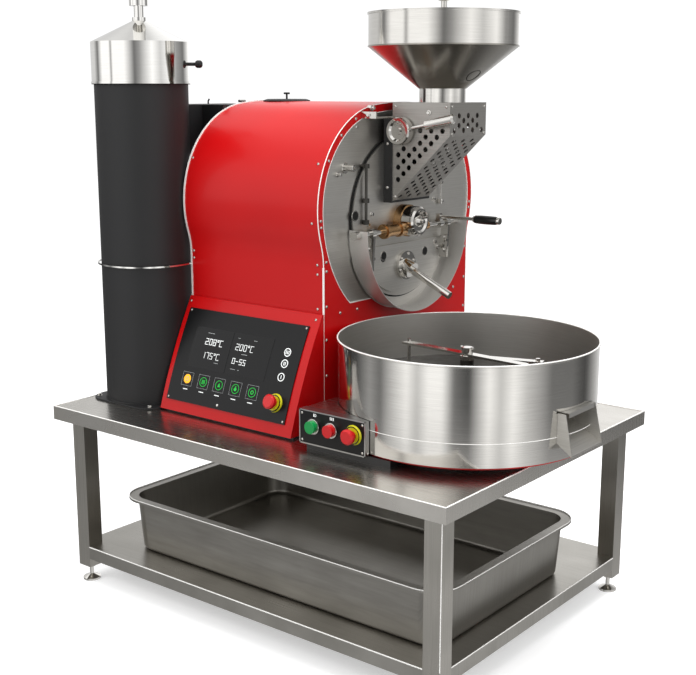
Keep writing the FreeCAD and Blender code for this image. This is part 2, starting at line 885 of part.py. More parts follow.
def body_shell():
    back = BODY_REAR + cell.rear_panel_thickness
    front = BODY_FRONT - cell.frame_depth
    outside = housing_slice(ZERO, back, front)
    inside = housing_slice(cell.shell_wall, back - cell.overrun, front + cell.overrun)
    name_node(cut(outside, inside), "body_shell")


def rear_panel():
    front = BODY_REAR + cell.rear_panel_thickness
    panel = housing_slice(ZERO, BODY_REAR, front)
    hole = rod((BODY_REAR - cell.overrun, AXIS_Y, AXIS_Z), cell.shaft_radius + cell.door_gap,
               cell.rear_panel_thickness + cell.overrun * 2, "X")
    name_node(cut(panel, hole), "rear_panel")


def plate_blank(inset, back, front, bulge):
    """The front plate's outline, widened below by the round of the drum's cover."""
    flat = housing_slice(inset, back, front, whole=False)
    round_part = rod((back, AXIS_Y, COVER_Z), bulge, front - back, "X")
    return join(flat, round_part)


def bulge_radius():
    return cell.cover_radius + cell.gasket_width + cell.bulge_margin


def front_frame():
    back = BODY_FRONT - cell.frame_depth
    outside = housing_slice(ZERO, back, BODY_FRONT)
    window = plate_blank(cell.frame_band, back - cell.overrun, BODY_FRONT + cell.overrun,
                         bulge_radius())
    name_node(cut(outside, window), "front_frame")


def front_plate():
    blank = plate_blank(cell.frame_band, PLATE_BACK, PLATE_FRONT, bulge_radius())
    opening = rod((PLATE_BACK - cell.overrun, AXIS_Y, COVER_Z), cell.drum_opening_radius,
                  cell.plate_thickness + cell.overrun * 2, "X")
    name_node(cut(blank, opening), "front_plate")


# Front cover of the drum

def cover_gasket():
    ring = tube((PLATE_FRONT, AXIS_Y, COVER_Z), cell.cover_radius + cell.gasket_width,
                cell.cover_radius, cell.gasket_thickness, "X")
    name_node(ring, "cover_gasket")


def drum_cover():
    back = PLATE_FRONT - cell.overrun
    through = cell.cover_thickness + cell.overrun * 2
    disc = rod((PLATE_FRONT, AXIS_Y, COVER_Z), cell.cover_radius, cell.cover_thickness, "X")
    shaft_hole = rod((back, AXIS_Y, AXIS_Z), cell.shaft_radius + cell.door_gap, through, "X")
    inlet = block((back, AXIS_Y - cell.inlet_width / 2, AXIS_Z + cell.inlet_low_rise),
                  through, cell.inlet_width, cell.inlet_high_rise - cell.inlet_low_rise)
    round_outlet = rod((back, AXIS_Y, COVER_Z), cell.outlet_radius, through, "X")
    band = block((back, AXIS_Y - cell.cover_radius, COVER_Z - cell.outlet_bottom_drop),
                 through, cell.cover_radius * 2, cell.outlet_bottom_drop - cell.outlet_top_drop)
    outlet = overlap(round_outlet, band)
    name_node(cut(disc, shaft_hole, inlet, outlet), "drum_cover")


def cover_clamps():
    y = AXIS_Y - cell.clamp_rod_reach
    x = COVER_FRONT + cell.clamp_standoff
    low = AXIS_Z + cell.clamp_rod_low_rise
    height = cell.clamp_rod_high_rise - cell.clamp_rod_low_rise
    pin = rod((x, y, low), cell.clamp_rod_radius, height)
    lugs = [pin]
    for share in (ZERO, cell.clamp_middle_share, cell.clamp_top_share):
        z = low + height * share
        lugs.append(rod((x, y, z), cell.clamp_block_radius, cell.clamp_block_height))
        foot = rod((PLATE_FRONT, y, z + cell.clamp_block_height / 2), cell.clamp_rod_radius,
                   x - PLATE_FRONT, "X")
        lugs.append(foot)
    name_node(cut(join(*lugs), cover_blank()), "cover_clamps")


def cover_blank():
    """The round that the cover and its gasket fill, for what stands beside and on it."""
    radius = cell.cover_radius + cell.gasket_width + cell.door_gap
    return rod((PLATE_FRONT, AXIS_Y, COVER_Z), radius, cell.cover_thickness, "X")


# Drum and drive

DRUM_FRONT = PLATE_BACK - cell.drum_front_gap
DRUM_REAR = BODY_REAR + cell.drum_rear_room
DRUM_LENGTH = DRUM_FRONT - DRUM_REAR
DRUM_BORE = cell.drum_radius - cell.drum_wall


def flight_plates():
    """The plates that lift the beans, welded inside the drum."""
    length = DRUM_LENGTH - cell.drum_head_thickness - cell.flight_end_gap
    flights = []
    for index in range(FLIGHTS):
        turn = FreeCAD.Rotation(FreeCAD.Vector(1, 0, 0), 360 * (index + 0.5) / FLIGHTS)
        out = turn.multVec(FreeCAD.Vector(0, 0, 1))
        side = turn.multVec(FreeCAD.Vector(0, -1, 0))
        half = cell.flight_thickness / 2
        seat = root(DRUM_BORE * DRUM_BORE - half * half)
        low = seat - cell.flight_height
        flight = document.addObject("Part::Box", "flight")
        bind(flight, Length=length, Width=cell.flight_thickness, Height=cell.flight_height)
        place(flight, (DRUM_REAR + cell.drum_head_thickness,
                       AXIS_Y + low * out.y + half * side.y,
                       AXIS_Z + low * out.z + half * side.z), turn)
        flights.append(flight)
    slots = rod((DRUM_FRONT - cell.spider_setback - cell.door_gap, AXIS_Y, AXIS_Z),
                cell.drum_radius, cell.spider_thickness + cell.door_gap * 2, "X")
    return cut(join(*flights), slots)


def drum():
    shell = tube((DRUM_REAR + cell.drum_head_thickness, AXIS_Y, AXIS_Z), cell.drum_radius,
                 DRUM_BORE, DRUM_LENGTH - cell.drum_head_thickness, "X")
    head = rod((DRUM_REAR, AXIS_Y, AXIS_Z), cell.drum_radius, cell.drum_head_thickness, "X")
    back = DRUM_REAR - cell.overrun
    through = cell.drum_head_thickness + cell.overrun * 2
    holes = [rod((back, AXIS_Y, AXIS_Z), cell.shaft_radius, through, "X")]
    for index in range(HEAD_HOLES):
        angle = 2 * math.pi * index / HEAD_HOLES
        y = AXIS_Y + cell.head_hole_circle * math.cos(angle)
        z = AXIS_Z + cell.head_hole_circle * math.sin(angle)
        holes.append(rod((back, y, z), cell.head_hole_radius, through, "X"))
    name_node(group(shell, cut(head, *holes), flight_plates()), "drum")


def drum_shaft():
    rear = BODY_REAR - cell.gearbox_length
    front = COVER_FRONT + cell.bearing_length + cell.housing_length + cell.nose_gap
    pieces = [rod((rear, AXIS_Y, AXIS_Z), cell.shaft_radius, front - rear, "X")]
    step = cell.nose_step
    nose = (
        (ZERO, ZERO), (cell.nose_radius, ZERO),
        (cell.nose_radius, cell.nose_length - step),
        (cell.nose_radius - step, cell.nose_length),
        (cell.nose_radius - step * 2, cell.nose_length),
        (cell.nose_radius - step * 3, cell.nose_length - step),
        (cell.nose_radius - step * 5, cell.nose_length - step),
        (cell.nose_radius - step * 6, cell.nose_length + step),
        (ZERO, cell.nose_length + step),
    )
    pieces.append(turned(nose, (front, AXIS_Y, AXIS_Z), "X"))
    spider_x = DRUM_FRONT - cell.spider_setback
    pieces.append(rod((spider_x, AXIS_Y, AXIS_Z), cell.spider_hub_radius,
                      cell.spider_thickness, "X"))
    for index in range(SPIDER_ARMS):
        turn = FreeCAD.Rotation(FreeCAD.Vector(1, 0, 0), 360 * index / SPIDER_ARMS)
        half = cell.spider_width / 2
        side = turn.multVec(FreeCAD.Vector(0, -1, 0))
        arm = document.addObject("Part::Box", "spider_arm")
        reach = root(DRUM_BORE * DRUM_BORE - half * half)
        bind(arm, Length=cell.spider_thickness, Width=cell.spider_width, Height=reach)
        place(arm, (spider_x, AXIS_Y + half * side.y, AXIS_Z + half * side.z), turn)
        pieces.append(arm)
    name_node(join(*pieces), "drum_shaft")


def drive_motor():
    flange_x = BODY_REAR - cell.gearbox_flange_thickness
    flange = rod((flange_x, AXIS_Y, AXIS_Z), cell.gearbox_flange_radius,
                 cell.gearbox_flange_thickness, "X")
    box_x = BODY_REAR - cell.gearbox_length
    half_width = cell.gearbox_width / 2
    box = block((box_x, AXIS_Y - half_width, AXIS_Z - cell.gearbox_drop),
                cell.gearbox_length - cell.gearbox_flange_thickness, cell.gearbox_width,
                cell.gearbox_height)
    motor_x = box_x + (cell.gearbox_length - cell.gearbox_flange_thickness) / 2
    motor_z = AXIS_Z + cell.motor_rise
    motor = rod((motor_x, AXIS_Y + half_width, motor_z), cell.motor_radius, cell.motor_length, "Y")
    side = cell.terminal_box_side
    terminal = block((motor_x - side / 2, AXIS_Y + half_width + side, motor_z), side, side,
                     cell.motor_radius + cell.terminal_box_height)
    bore = rod((box_x - cell.overrun, AXIS_Y, AXIS_Z), cell.shaft_radius + cell.shaft_clearance,
               cell.gearbox_length + cell.overrun * 2, "X")
    name_node(cut(join(flange, box, motor, terminal), bore), "drive_motor")


def burner():
    x = BODY_REAR + cell.rear_panel_thickness
    z = AXIS_Z - cell.burner_drop
    manifold = block((x, AXIS_Y - cell.manifold_width / 2, z - cell.manifold_side / 2),
                     cell.manifold_side, cell.manifold_width, cell.manifold_side)
    pipes = [
        rod((x + cell.manifold_side, AXIS_Y + cell.burner_pitch * place_across, z),
            cell.burner_radius, cell.burner_length, "X")
        for place_across in (-1, 0, 1)
    ]
    name_node(join(manifold, *pipes), "burner")


# Front bearing, with the two bronze bushes that carry the discharge door

STUB_X = COVER_FRONT + cell.stub_forward
STUB_Z = AXIS_Z - cell.stub_drop
STUB_BORE = cell.stub_radius + cell.stub_clearance


def bearing_housing():
    start = COVER_FRONT + cell.bearing_length
    housing = tube((start, AXIS_Y, AXIS_Z), cell.housing_radius,
                   cell.shaft_radius + cell.shaft_clearance, cell.housing_length, "X")
    name_node(housing, "bearing_housing")


def front_bearing():
    flange = rod((COVER_FRONT, AXIS_Y, AXIS_Z), cell.bearing_radius, cell.bearing_length, "X")
    inner = cell.housing_radius / 2
    collar = cell.bush_collar_length
    left_start = AXIS_Y - cell.housing_radius - cell.bush_length_left
    left = rod((STUB_X, left_start, STUB_Z), cell.bush_radius,
               cell.bush_length_left + inner, "Y")
    left_collar = rod((STUB_X, left_start + collar / 2, STUB_Z), cell.bush_collar_radius,
                      collar, "Y")
    inner_collar = rod((STUB_X, AXIS_Y - cell.housing_radius - collar * 2, STUB_Z),
                       cell.bush_collar_radius, collar, "Y")
    right = rod((STUB_X, AXIS_Y + inner, STUB_Z), cell.bush_radius_right,
                cell.housing_radius + cell.bush_length_right - inner, "Y")
    start = COVER_FRONT + cell.bearing_length
    housing = rod((start, AXIS_Y, AXIS_Z), cell.housing_radius, cell.housing_length, "X")
    shaft = rod((COVER_FRONT - cell.overrun, AXIS_Y, AXIS_Z),
                cell.shaft_radius + cell.shaft_clearance,
                cell.bearing_length + cell.housing_length + cell.overrun * 2, "X")
    ahead = rod((start + cell.housing_length, AXIS_Y, AXIS_Z), cell.bearing_radius,
                cell.bearing_radius, "X")
    reach = AXIS_Y - cell.housing_radius - cell.bush_length_left - cell.overrun
    end = AXIS_Y + cell.housing_radius + cell.bush_length_right + cell.overrun
    bores = rod((STUB_X, reach, STUB_Z), STUB_BORE, end - reach, "Y")
    bronze = cut(join(flange, left, left_collar, inner_collar, right), housing, shaft, bores,
                 ahead)
    name_node(bronze, "front_bearing")


# Discharge door, its two stub shafts, arms, lever and sampler

def stub_inner():
    """How near the drum's axis each stub shaft reaches."""
    return cell.housing_radius + cell.nose_gap


def discharge_door():
    x = COVER_FRONT + cell.door_gap
    disc = rod((x, AXIS_Y, COVER_Z), cell.door_radius, cell.door_thickness, "X")
    top = AXIS_Z - cell.door_top_drop
    upper = block((x - cell.overrun, AXIS_Y - cell.door_radius - cell.overrun, top),
                  cell.door_thickness + cell.overrun * 2,
                  (cell.door_radius + cell.overrun) * 2, cell.door_radius * 2)
    tools = [upper]
    for side in (-1, 1):
        tools.append(rod((x - cell.overrun, AXIS_Y + cell.port_reach * side,
                          AXIS_Z - cell.port_drop), cell.port_radius,
                         cell.door_thickness + cell.overrun * 2, "X"))
    tools.append(sampler_rod(cell.sampler_radius + cell.sampler_hole_clearance,
                             -cell.sampler_inside, cell.sampler_outside))
    name_node(cut(disc, *tools), "discharge_door")


SAMPLER_X = COVER_FRONT + cell.door_gap + cell.door_thickness
SAMPLER_Z = AXIS_Z - cell.sampler_drop
SAMPLER_TURN = FreeCAD.Rotation(FreeCAD.Vector(0, 1, 0), 90 + cell.sampler_tilt.value)
SAMPLER_WAY = SAMPLER_TURN.multVec(FreeCAD.Vector(0, 0, 1))


def along_sampler(distance):
    """The place at a distance out along the sampler's axis, from the door's face."""
    return (SAMPLER_X + distance * SAMPLER_WAY.x, AXIS_Y, SAMPLER_Z + distance * SAMPLER_WAY.z)


def sampler_rod(radius, start, end):
    start, end = as_size(start), as_size(end)
    return rod(along_sampler(start), radius, end - start, rotation=SAMPLER_TURN)


def discharge_shafts():
    """Two short shafts in line, each with the arm that carries the door."""
    inner = stub_inner()
    left_start = AXIS_Y - cell.stub_left_reach
    left = rod((STUB_X, left_start, STUB_Z), cell.stub_radius, cell.stub_left_reach - inner, "Y")
    collar = rod((STUB_X, left_start, STUB_Z), cell.collar_radius, cell.collar_length, "Y")
    right = rod((STUB_X, AXIS_Y + inner, STUB_Z), cell.stub_radius,
                cell.stub_right_reach - inner, "Y")
    name_node(group(join(left, collar, *door_arm(-1)), join(right, *door_arm(1))),
              "discharge_shafts")


def door_arm(side):
    """The plate and the boss of the arm on one side of the drum's axis."""
    middle = AXIS_Y + cell.arm_reach * side
    ahead = STUB_X - SAMPLER_X
    low = -cell.arm_length
    half = cell.arm_width / 2
    corners = ((half, ZERO), (half / 2, low), (-ahead, low), (-ahead, low / 2), (-half, ZERO))
    plate = pad("XZ_Plane", corners, cell.arm_thickness,
                (STUB_X, middle + cell.arm_thickness / 2, STUB_Z))
    boss = rod((STUB_X, middle - cell.arm_boss_length / 2, STUB_Z), cell.arm_boss_radius,
               cell.arm_boss_length, "Y")
    return plate, boss


def discharge_lever():
    y = AXIS_Y + cell.lever_reach
    hub = rod((STUB_X, y - cell.lever_hub_width / 2, STUB_Z), cell.lever_hub_radius,
              cell.lever_hub_width, "Y")
    z = STUB_Z + cell.lever_rise
    post = block((STUB_X - cell.lever_hub_width / 2, y - cell.lever_hub_width / 2, STUB_Z),
                 cell.lever_hub_width, cell.lever_hub_width, cell.lever_rise + cell.grip_radius)
    bar = rod((STUB_X, y, z), cell.lever_rod_radius,
              cell.lever_rod_length + cell.grip_socket, "X")
    bore = rod((STUB_X, y - cell.lever_hub_width, STUB_Z), cell.stub_radius,
               cell.lever_hub_width * 2, "Y")
    name_node(cut(join(hub, post, bar), bore), "discharge_lever")


def lever_grip():
    y = AXIS_Y + cell.lever_reach
    z = STUB_Z + cell.lever_rise
    x = STUB_X + cell.lever_rod_length
    radius = cell.grip_radius
    bore = cell.lever_rod_radius
    step = cell.grip_end_step
    outline = (
        (bore, ZERO), (radius - step, ZERO),
        (radius, step * 2), (radius, cell.grip_length - step * 2),
        (radius - step, cell.grip_length),
        (ZERO, cell.grip_length), (ZERO, cell.grip_socket), (bore, cell.grip_socket),
    )
    name_node(turned(outline, (x, y, z), "X"), "lever_grip")


def sampler_flange():
    face = SAMPLER_X
    disc = rod((face, AXIS_Y, SAMPLER_Z), cell.sampler_flange_radius,
               cell.sampler_flange_thickness, "X")
    sleeve = sampler_rod(cell.sampler_sleeve_radius, 0,
                         cell.sampler_flange_thickness + cell.sampler_sleeve_length)
    behind = block((face - cell.sampler_flange_radius * 2,
                    AXIS_Y - cell.sampler_flange_radius * 2,
                    SAMPLER_Z - cell.sampler_flange_radius * 2),
                   cell.sampler_flange_radius * 2, cell.sampler_flange_radius * 4,
                   cell.sampler_flange_radius * 4)
    bore = sampler_rod(cell.sampler_radius + cell.sampler_hole_clearance,
                       -cell.sampler_inside, cell.sampler_outside)
    name_node(cut(join(disc, sleeve), behind, bore), "sampler_flange")


def sampler():
    body = sampler_rod(cell.sampler_radius, -cell.sampler_inside, cell.sampler_outside)
    hollow = sampler_rod(cell.sampler_bore, -cell.sampler_inside - cell.overrun,
                         cell.scoop_cut_length - cell.sampler_inside)
    inner = along_sampler(cell.scoop_cut_length - cell.sampler_inside)
    half = block((inner[0], AXIS_Y - cell.sampler_radius * 2, inner[2]),
                 cell.sampler_radius * 2, cell.sampler_radius * 4, cell.scoop_cut_length * 2)
    half.Placement = FreeCAD.Placement(half.Placement.Base, SAMPLER_TURN.multiply(
        FreeCAD.Rotation(FreeCAD.Vector(0, 1, 0), 180)))
    name_node(cut(body, hollow, half), "sampler")


# Trough round the lower half of the cover

def trough_ring(back_radius, front_radius, back, length):
    return cone((back, AXIS_Y, AXIS_Z - cell.trough_drop), back_radius, front_radius, length, "X")


def trough():
    wall = cell.trough_wall
    back = BODY_FRONT
    length = cell.trough_length - cell.plate_recess
    slope = (cell.trough_front_radius - cell.trough_back_radius) / length
    outside = trough_ring(cell.trough_back_radius, cell.trough_front_radius, back, length)
    shift = slope * cell.overrun
    inside = trough_ring(cell.trough_back_radius - wall - shift,
                         cell.trough_front_radius - wall + shift,
                         back - cell.overrun, length + cell.overrun * 2)
    top = AXIS_Z - cell.trough_drop + cell.trough_top_rise
    reach = cell.trough_front_radius + cell.overrun
    upper = block((back - cell.overrun, AXIS_Y - reach, top), length + cell.overrun * 2,
                  reach * 2, reach * 2)
    hole = rod((STUB_X, AXIS_Y - reach, STUB_Z), cell.stub_radius + cell.stub_hole_clearance,
               reach * 2, "Y")
    name_node(cut(cut(outside, inside), upper, hole), "trough")


# Feed box

FEED_X = COVER_FRONT + cell.feed_spacer_depth
FEED_LEFT = AXIS_Y - cell.feed_width / 2
FEED_TOP = CROWN_Z
FEED_FLOOR = FEED_TOP - cell.feed_back_height
NECK_X = FEED_X + cell.neck_forward
HUB_X = FEED_X + cell.hub_forward
HUB_Z = FEED_TOP - cell.hub_drop


def feed_spacer():
    width = cell.feed_spacer_width
    frame = block((COVER_FRONT, AXIS_Y - width / 2, FEED_FLOOR - cell.feed_wall * 3),
                  cell.feed_spacer_depth, width, cell.feed_spacer_height)
    opening = block((COVER_FRONT - cell.overrun, AXIS_Y - cell.inlet_width / 2,
                     AXIS_Z + cell.inlet_low_rise), cell.feed_spacer_depth + cell.overrun * 2,
                    cell.inlet_width, cell.inlet_high_rise - cell.inlet_low_rise)
    name_node(cut(frame, opening), "feed_spacer")


def feed_section(inset, left, width, above):
    """The feed box's five-sided section, solid across Y, drawn in by an inset."""
    depth, drop, front = cell.feed_depth, cell.feed_back_height, cell.feed_front_height
    run = drop - front
    slope_length = root(depth * depth + run * run)
    lift = inset * slope_length / depth
    corners = (
        (ZERO, above - ZERO),
        (ZERO, lift - drop),
        (depth - inset, lift - drop + run * (depth - inset) / depth),
        (depth - inset, above - ZERO),
    )
    return pad("XZ_Plane", corners, width, (FEED_X, left + width, FEED_TOP))


def side_holes():
    """Staggered holes through both sides, below the lever's hub."""
    column_step, row_step = cell.feed_side_column_step, cell.feed_side_row_step
    depth = cell.feed_depth - cell.feed_side_start
    run = cell.feed_back_height - cell.feed_front_height
    holes = []
    for row in range(int((cell.feed_back_height / row_step).value)):
        for column in range(row % 2, int((depth / column_step).value) + 1, 2):
            along = column_step * column + cell.feed_side_start
            drop = row_step * row + cell.feed_side_top_margin
            floor = cell.feed_back_height - run * along / cell.feed_depth
            if drop.value > (floor - cell.feed_side_low_margin).value:
                continue
            near_hub = (along - cell.hub_forward).value ** 2 + (drop - cell.hub_drop).value ** 2
            if near_hub < (cell.hub_radius + cell.feed_hole_radius).value ** 2:
                continue
            holes.append(punch((FEED_X + along, FEED_LEFT - cell.overrun, FEED_TOP - drop),
                               cell.feed_hole_radius, cell.feed_width + cell.overrun * 2, "Y"))
    return holes


def row_places(count, step):
    """How far each hole of a row lies from the row's middle."""
    return [step * (column - (count - 1) / 2) for column in range(count)]


def front_holes():
    holes = []
    for row, count in enumerate(FRONT_HOLES):
        for across in row_places(count, cell.feed_front_column_step):
            z = FEED_TOP - cell.feed_front_top_margin - cell.feed_front_row_step * row
            holes.append(punch((FEED_X + cell.feed_depth - cell.feed_wall - cell.overrun,
                                AXIS_Y + across, z), cell.feed_hole_radius,
                               cell.feed_wall + cell.overrun * 2, "X"))
    return holes


def floor_holes():
    """Staggered holes square through the sloping floor."""
    depth, run = cell.feed_depth, cell.feed_back_height - cell.feed_front_height
    length = root(depth * depth + run * run)
    angle = math.degrees(math.atan2(run.value, depth.value))
    turn = FreeCAD.Rotation(FreeCAD.Vector(0, 1, 0), -angle)
    row_step = cell.feed_floor_row_step
    rows = int(((length - cell.feed_hole_margin * 2) / row_step).value) + 1
    back = cell.feed_wall + cell.overrun
    normal = turn.multVec(FreeCAD.Vector(0, 0, 1))
    holes = []
    for row in range(rows):
        out = cell.feed_hole_margin + row_step * row
        x = FEED_X + out * depth / length
        z = FEED_FLOOR + out * run / length
        for across in row_places(FLOOR_HOLES - row % 2, cell.feed_floor_column_step):
            holes.append(punch((x - back * normal.x, AXIS_Y + across, z - back * normal.z),
                               cell.feed_hole_radius, back * 3, rotation=turn))
    return holes


def feed_box():
    wall = cell.feed_wall
    outside = feed_section(ZERO, FEED_LEFT, cell.feed_width, ZERO)
    inside = feed_section(wall, FEED_LEFT + wall, cell.feed_width - wall * 2, -wall)
    neck_hole = rod((NECK_X, AXIS_Y, FEED_TOP - wall - cell.overrun),
                    cell.neck_outer_radius - cell.hopper_wall, wall + cell.overrun * 2)
    shaft_hole = rod((HUB_X, FEED_LEFT - cell.overrun, HUB_Z),
                     cell.gate_shaft_radius + cell.gate_shaft_clearance,
                     cell.feed_width + cell.overrun * 2, "Y")
    shell = cut(outside, inside, neck_hole, shaft_hole)
    name_node(cut(shell, *side_holes(), *front_holes(), *floor_holes()), "feed_box")


def feed_gate():
    half = cell.gate_width / 2
    spindle_start = FEED_LEFT - cell.hub_length / 2
    spindle = rod((HUB_X, spindle_start, HUB_Z), cell.gate_shaft_radius,
                  FEED_LEFT + cell.feed_width - spindle_start, "Y")
    turn = FreeCAD.Rotation(FreeCAD.Vector(0, 1, 0), -cell.gate_angle.value)
    flap = document.addObject("Part::Box", "flap")
    bind(flap, Length=cell.gate_length, Width=cell.gate_width, Height=cell.gate_thickness)
    normal = turn.multVec(FreeCAD.Vector(0, 0, 1))
    lift = cell.gate_thickness / 2
    place(flap, (HUB_X - lift * normal.x, AXIS_Y - half, HUB_Z - lift * normal.z), turn)
    name_node(join(spindle, flap), "feed_gate")


def feed_lever():
    y = FEED_LEFT - cell.hub_gap - cell.hub_length
    rim = cell.hub_rim
    outline = (
        (cell.gate_shaft_radius, cell.hub_length / 2), (cell.gate_shaft_radius, cell.hub_length),
        (cell.hub_radius - rim, cell.hub_length), (cell.hub_radius, cell.hub_length - rim),
        (cell.hub_radius, rim), (cell.hub_radius - rim / 2, ZERO),
        (cell.hub_radius - rim * 2, ZERO), (cell.hub_radius - rim * 3, rim),
        (rim * 2, rim), (rim * 2, ZERO), (ZERO, ZERO), (ZERO, cell.hub_length / 2),
    )
    hub = turned(outline, (HUB_X, y, HUB_Z), "Y")
    turn = FreeCAD.Rotation(FreeCAD.Vector(0, 1, 0), 90 - cell.feed_lever_angle.value)
    way = turn.multVec(FreeCAD.Vector(0, 0, 1))
    start = cell.hub_radius - rim
    bar = rod((HUB_X + start * way.x, y + cell.hub_length / 2, HUB_Z + start * way.z),
              cell.feed_rod_radius, cell.feed_rod_length - start + rim * 3, rotation=turn)
    name_node(join(hub, bar), "feed_lever")


def feed_grip():
    y = FEED_LEFT - cell.hub_gap - cell.hub_length / 2
    turn = FreeCAD.Rotation(FreeCAD.Vector(0, 1, 0), 90 - cell.feed_lever_angle.value)
    way = turn.multVec(FreeCAD.Vector(0, 0, 1))
    start = cell.feed_rod_length
    rim = cell.hub_rim
    radius = cell.feed_grip_radius
    outline = (
        (cell.feed_rod_radius, ZERO), (radius - rim / 2, ZERO), (radius, rim / 2),
        (radius, cell.feed_grip_length - rim), (radius - rim, cell.feed_grip_length),
        (ZERO, cell.feed_grip_length), (ZERO, rim * 3), (cell.feed_rod_radius, rim * 3),
    )
    at = (HUB_X + start * way.x, y, HUB_Z + start * way.z)
    name_node(turned(outline, at, rotation=turn), "feed_grip")


def feed_stay():
    z = FEED_TOP - cell.stay_drop - cell.stay_height
    y = FEED_LEFT - cell.stay_reach
    ear = block((BODY_FRONT, y, z), cell.stay_thickness, cell.stay_height, cell.stay_height)
    out = FEED_X + cell.stay_height - BODY_FRONT
    foot = block((BODY_FRONT, y, z), out, cell.stay_thickness, cell.stay_height)
    cross = block((FEED_X, y, z), cell.stay_height, FEED_LEFT - y, cell.stay_thickness)
    name_node(join(ear, foot, cross), "feed_stay")


# Hopper

NECK_TOP = FEED_TOP + cell.neck_height
HOPPER_SHOULDER = NECK_TOP + cell.hopper_cone_height
HOPPER_RIM = HOPPER_SHOULDER + cell.hopper_band_height


def hopper_neck():
    bore = cell.neck_outer_radius - cell.hopper_wall
    pipe = tube((NECK_X, AXIS_Y, FEED_TOP), cell.neck_outer_radius, bore, cell.neck_height)
    name_node(pipe, "hopper_neck")


def hopper():
    wall, bead = cell.hopper_wall, cell.hopper_bead
    neck, wide = cell.neck_outer_radius, cell.hopper_radius
    rise, band = cell.hopper_cone_height, cell.hopper_band_height
    outline = (
        (neck, ZERO), (wide, rise), (wide + bead / 2, rise), (wide + bead / 2, rise + bead),
        (wide, rise + bead), (wide, rise + band - bead), (wide + bead, rise + band - bead),
        (wide + bead, rise + band), (wide - wall, rise + band),
        (wide - wall, rise + wall / 2), (neck - wall, wall / 2), (neck - wall, ZERO),
    )
    name_node(turned(outline, (NECK_X, AXIS_Y, NECK_TOP)), "hopper")


def hopper_lid():
    inner = cell.hopper_radius - cell.hopper_wall - cell.lid_clearance
    rim = cell.hopper_radius + cell.hopper_bead
    thick = cell.lid_thickness
    crown = cell.lid_crown
    knob, top = cell.lid_knob_radius, cell.lid_knob_height
    outline = (
        (ZERO, crown - thick), (knob, crown - thick), (inner - thick, ZERO),
        (inner - thick, -cell.lid_skirt), (inner, -cell.lid_skirt), (inner, ZERO),
        (rim, ZERO), (rim, thick), (inner, thick), (knob, crown), (knob / 2, crown + thick),
        (knob / 2, crown + top / 2), (knob, crown + top * cell.lid_knob_neck_share),
        (knob, crown + top - thick), (knob - thick, crown + top), (ZERO, crown + top),
    )
    name_node(turned(outline, (NECK_X, AXIS_Y, HOPPER_RIM + cell.door_gap)), "hopper_lid")


# Console and control box

CONSOLE_FRONT = AXIS_Y - CONSOLE_REACH
CONSOLE_LOW = TABLE_TOP + cell.console_rise
SLOPE_RUN = cell.console_front_depth - cell.console_top_depth
SLOPE_RISE = cell.console_top_rise - cell.console_rise
SLOPE_ANGLE = math.degrees(math.atan2(SLOPE_RISE.value, SLOPE_RUN.value))
SLOPE_LENGTH = root(SLOPE_RUN * SLOPE_RUN + SLOPE_RISE * SLOPE_RISE)
FACE_TURN = FreeCAD.Rotation(FreeCAD.Vector(1, 0, 0), SLOPE_ANGLE)
BOW_RADIUS = (SLOPE_LENGTH * SLOPE_LENGTH / (cell.console_bow * 4) + cell.console_bow) / 2
STOP_OFFSET = SLOPE_LENGTH / 2 - cell.console_stop_rise
STOP_TILT = math.degrees(math.asin((STOP_OFFSET / BOW_RADIUS).value))
STOP_TURN = FreeCAD.Rotation(FreeCAD.Vector(1, 0, 0), SLOPE_ANGLE + STOP_TILT)


def on_slope(x, up, out):
    """A place above the console's straight slope, at a height up it and a distance out."""
    along_y, along_z = SLOPE_RUN / SLOPE_LENGTH, SLOPE_RISE / SLOPE_LENGTH
    return (x, CONSOLE_FRONT + up * along_y - out * along_z,
            CONSOLE_LOW + up * along_z + out * along_y)


def console_prism(inset, left, length):
    """The console's section, solid between two places along X."""
    shift = inset * SLOPE_LENGTH / SLOPE_RISE
    rise = SLOPE_RISE - inset
    corners = (
        (shift - CONSOLE_REACH + inset * SLOPE_RUN / SLOPE_RISE, inset),
        (-WALL_REACH, inset), (-WALL_REACH, rise),
        (shift - CONSOLE_REACH + SLOPE_RUN * rise / SLOPE_RISE, rise),
    )
    return pad("YZ_Plane", corners, length, (left, AXIS_Y, CONSOLE_LOW))


def bow_round(radius, left, length):
    """The round whose front gives the slope its bow."""
    return rod(on_slope(left, SLOPE_LENGTH / 2, cell.console_bow - BOW_RADIUS), radius, length, "X")


def bow_slice(radius, left, length, low, high, back=ZERO):
    """What lies between the straight slope and a round, from one height up it to another."""
    at = on_slope(left, low, -back)
    room = place(block(at, length, high - low, back + cell.console_bow * 2), at, FACE_TURN)
    return overlap(bow_round(radius, left, length), room)


def console_housing():
    wall = cell.console_wall
    length = cell.body_length
    outside = join(console_prism(ZERO, BODY_REAR, length),
                   bow_slice(BOW_RADIUS, BODY_REAR, length, ZERO, SLOPE_LENGTH))
    inside = join(console_prism(wall, BODY_REAR + wall, length - wall * 2),
                  bow_slice(BOW_RADIUS - wall, BODY_REAR + wall, length - wall * 2, wall * 4,
                            SLOPE_LENGTH - wall * 4, wall * 2))
    hole = rod(console_stop_at(-wall * 2), cell.stop_neck_radius + cell.button_clearance,
               wall * 2 + cell.overrun, rotation=STOP_TURN)
    name_node(cut(outside, inside, hole), "console_housing")


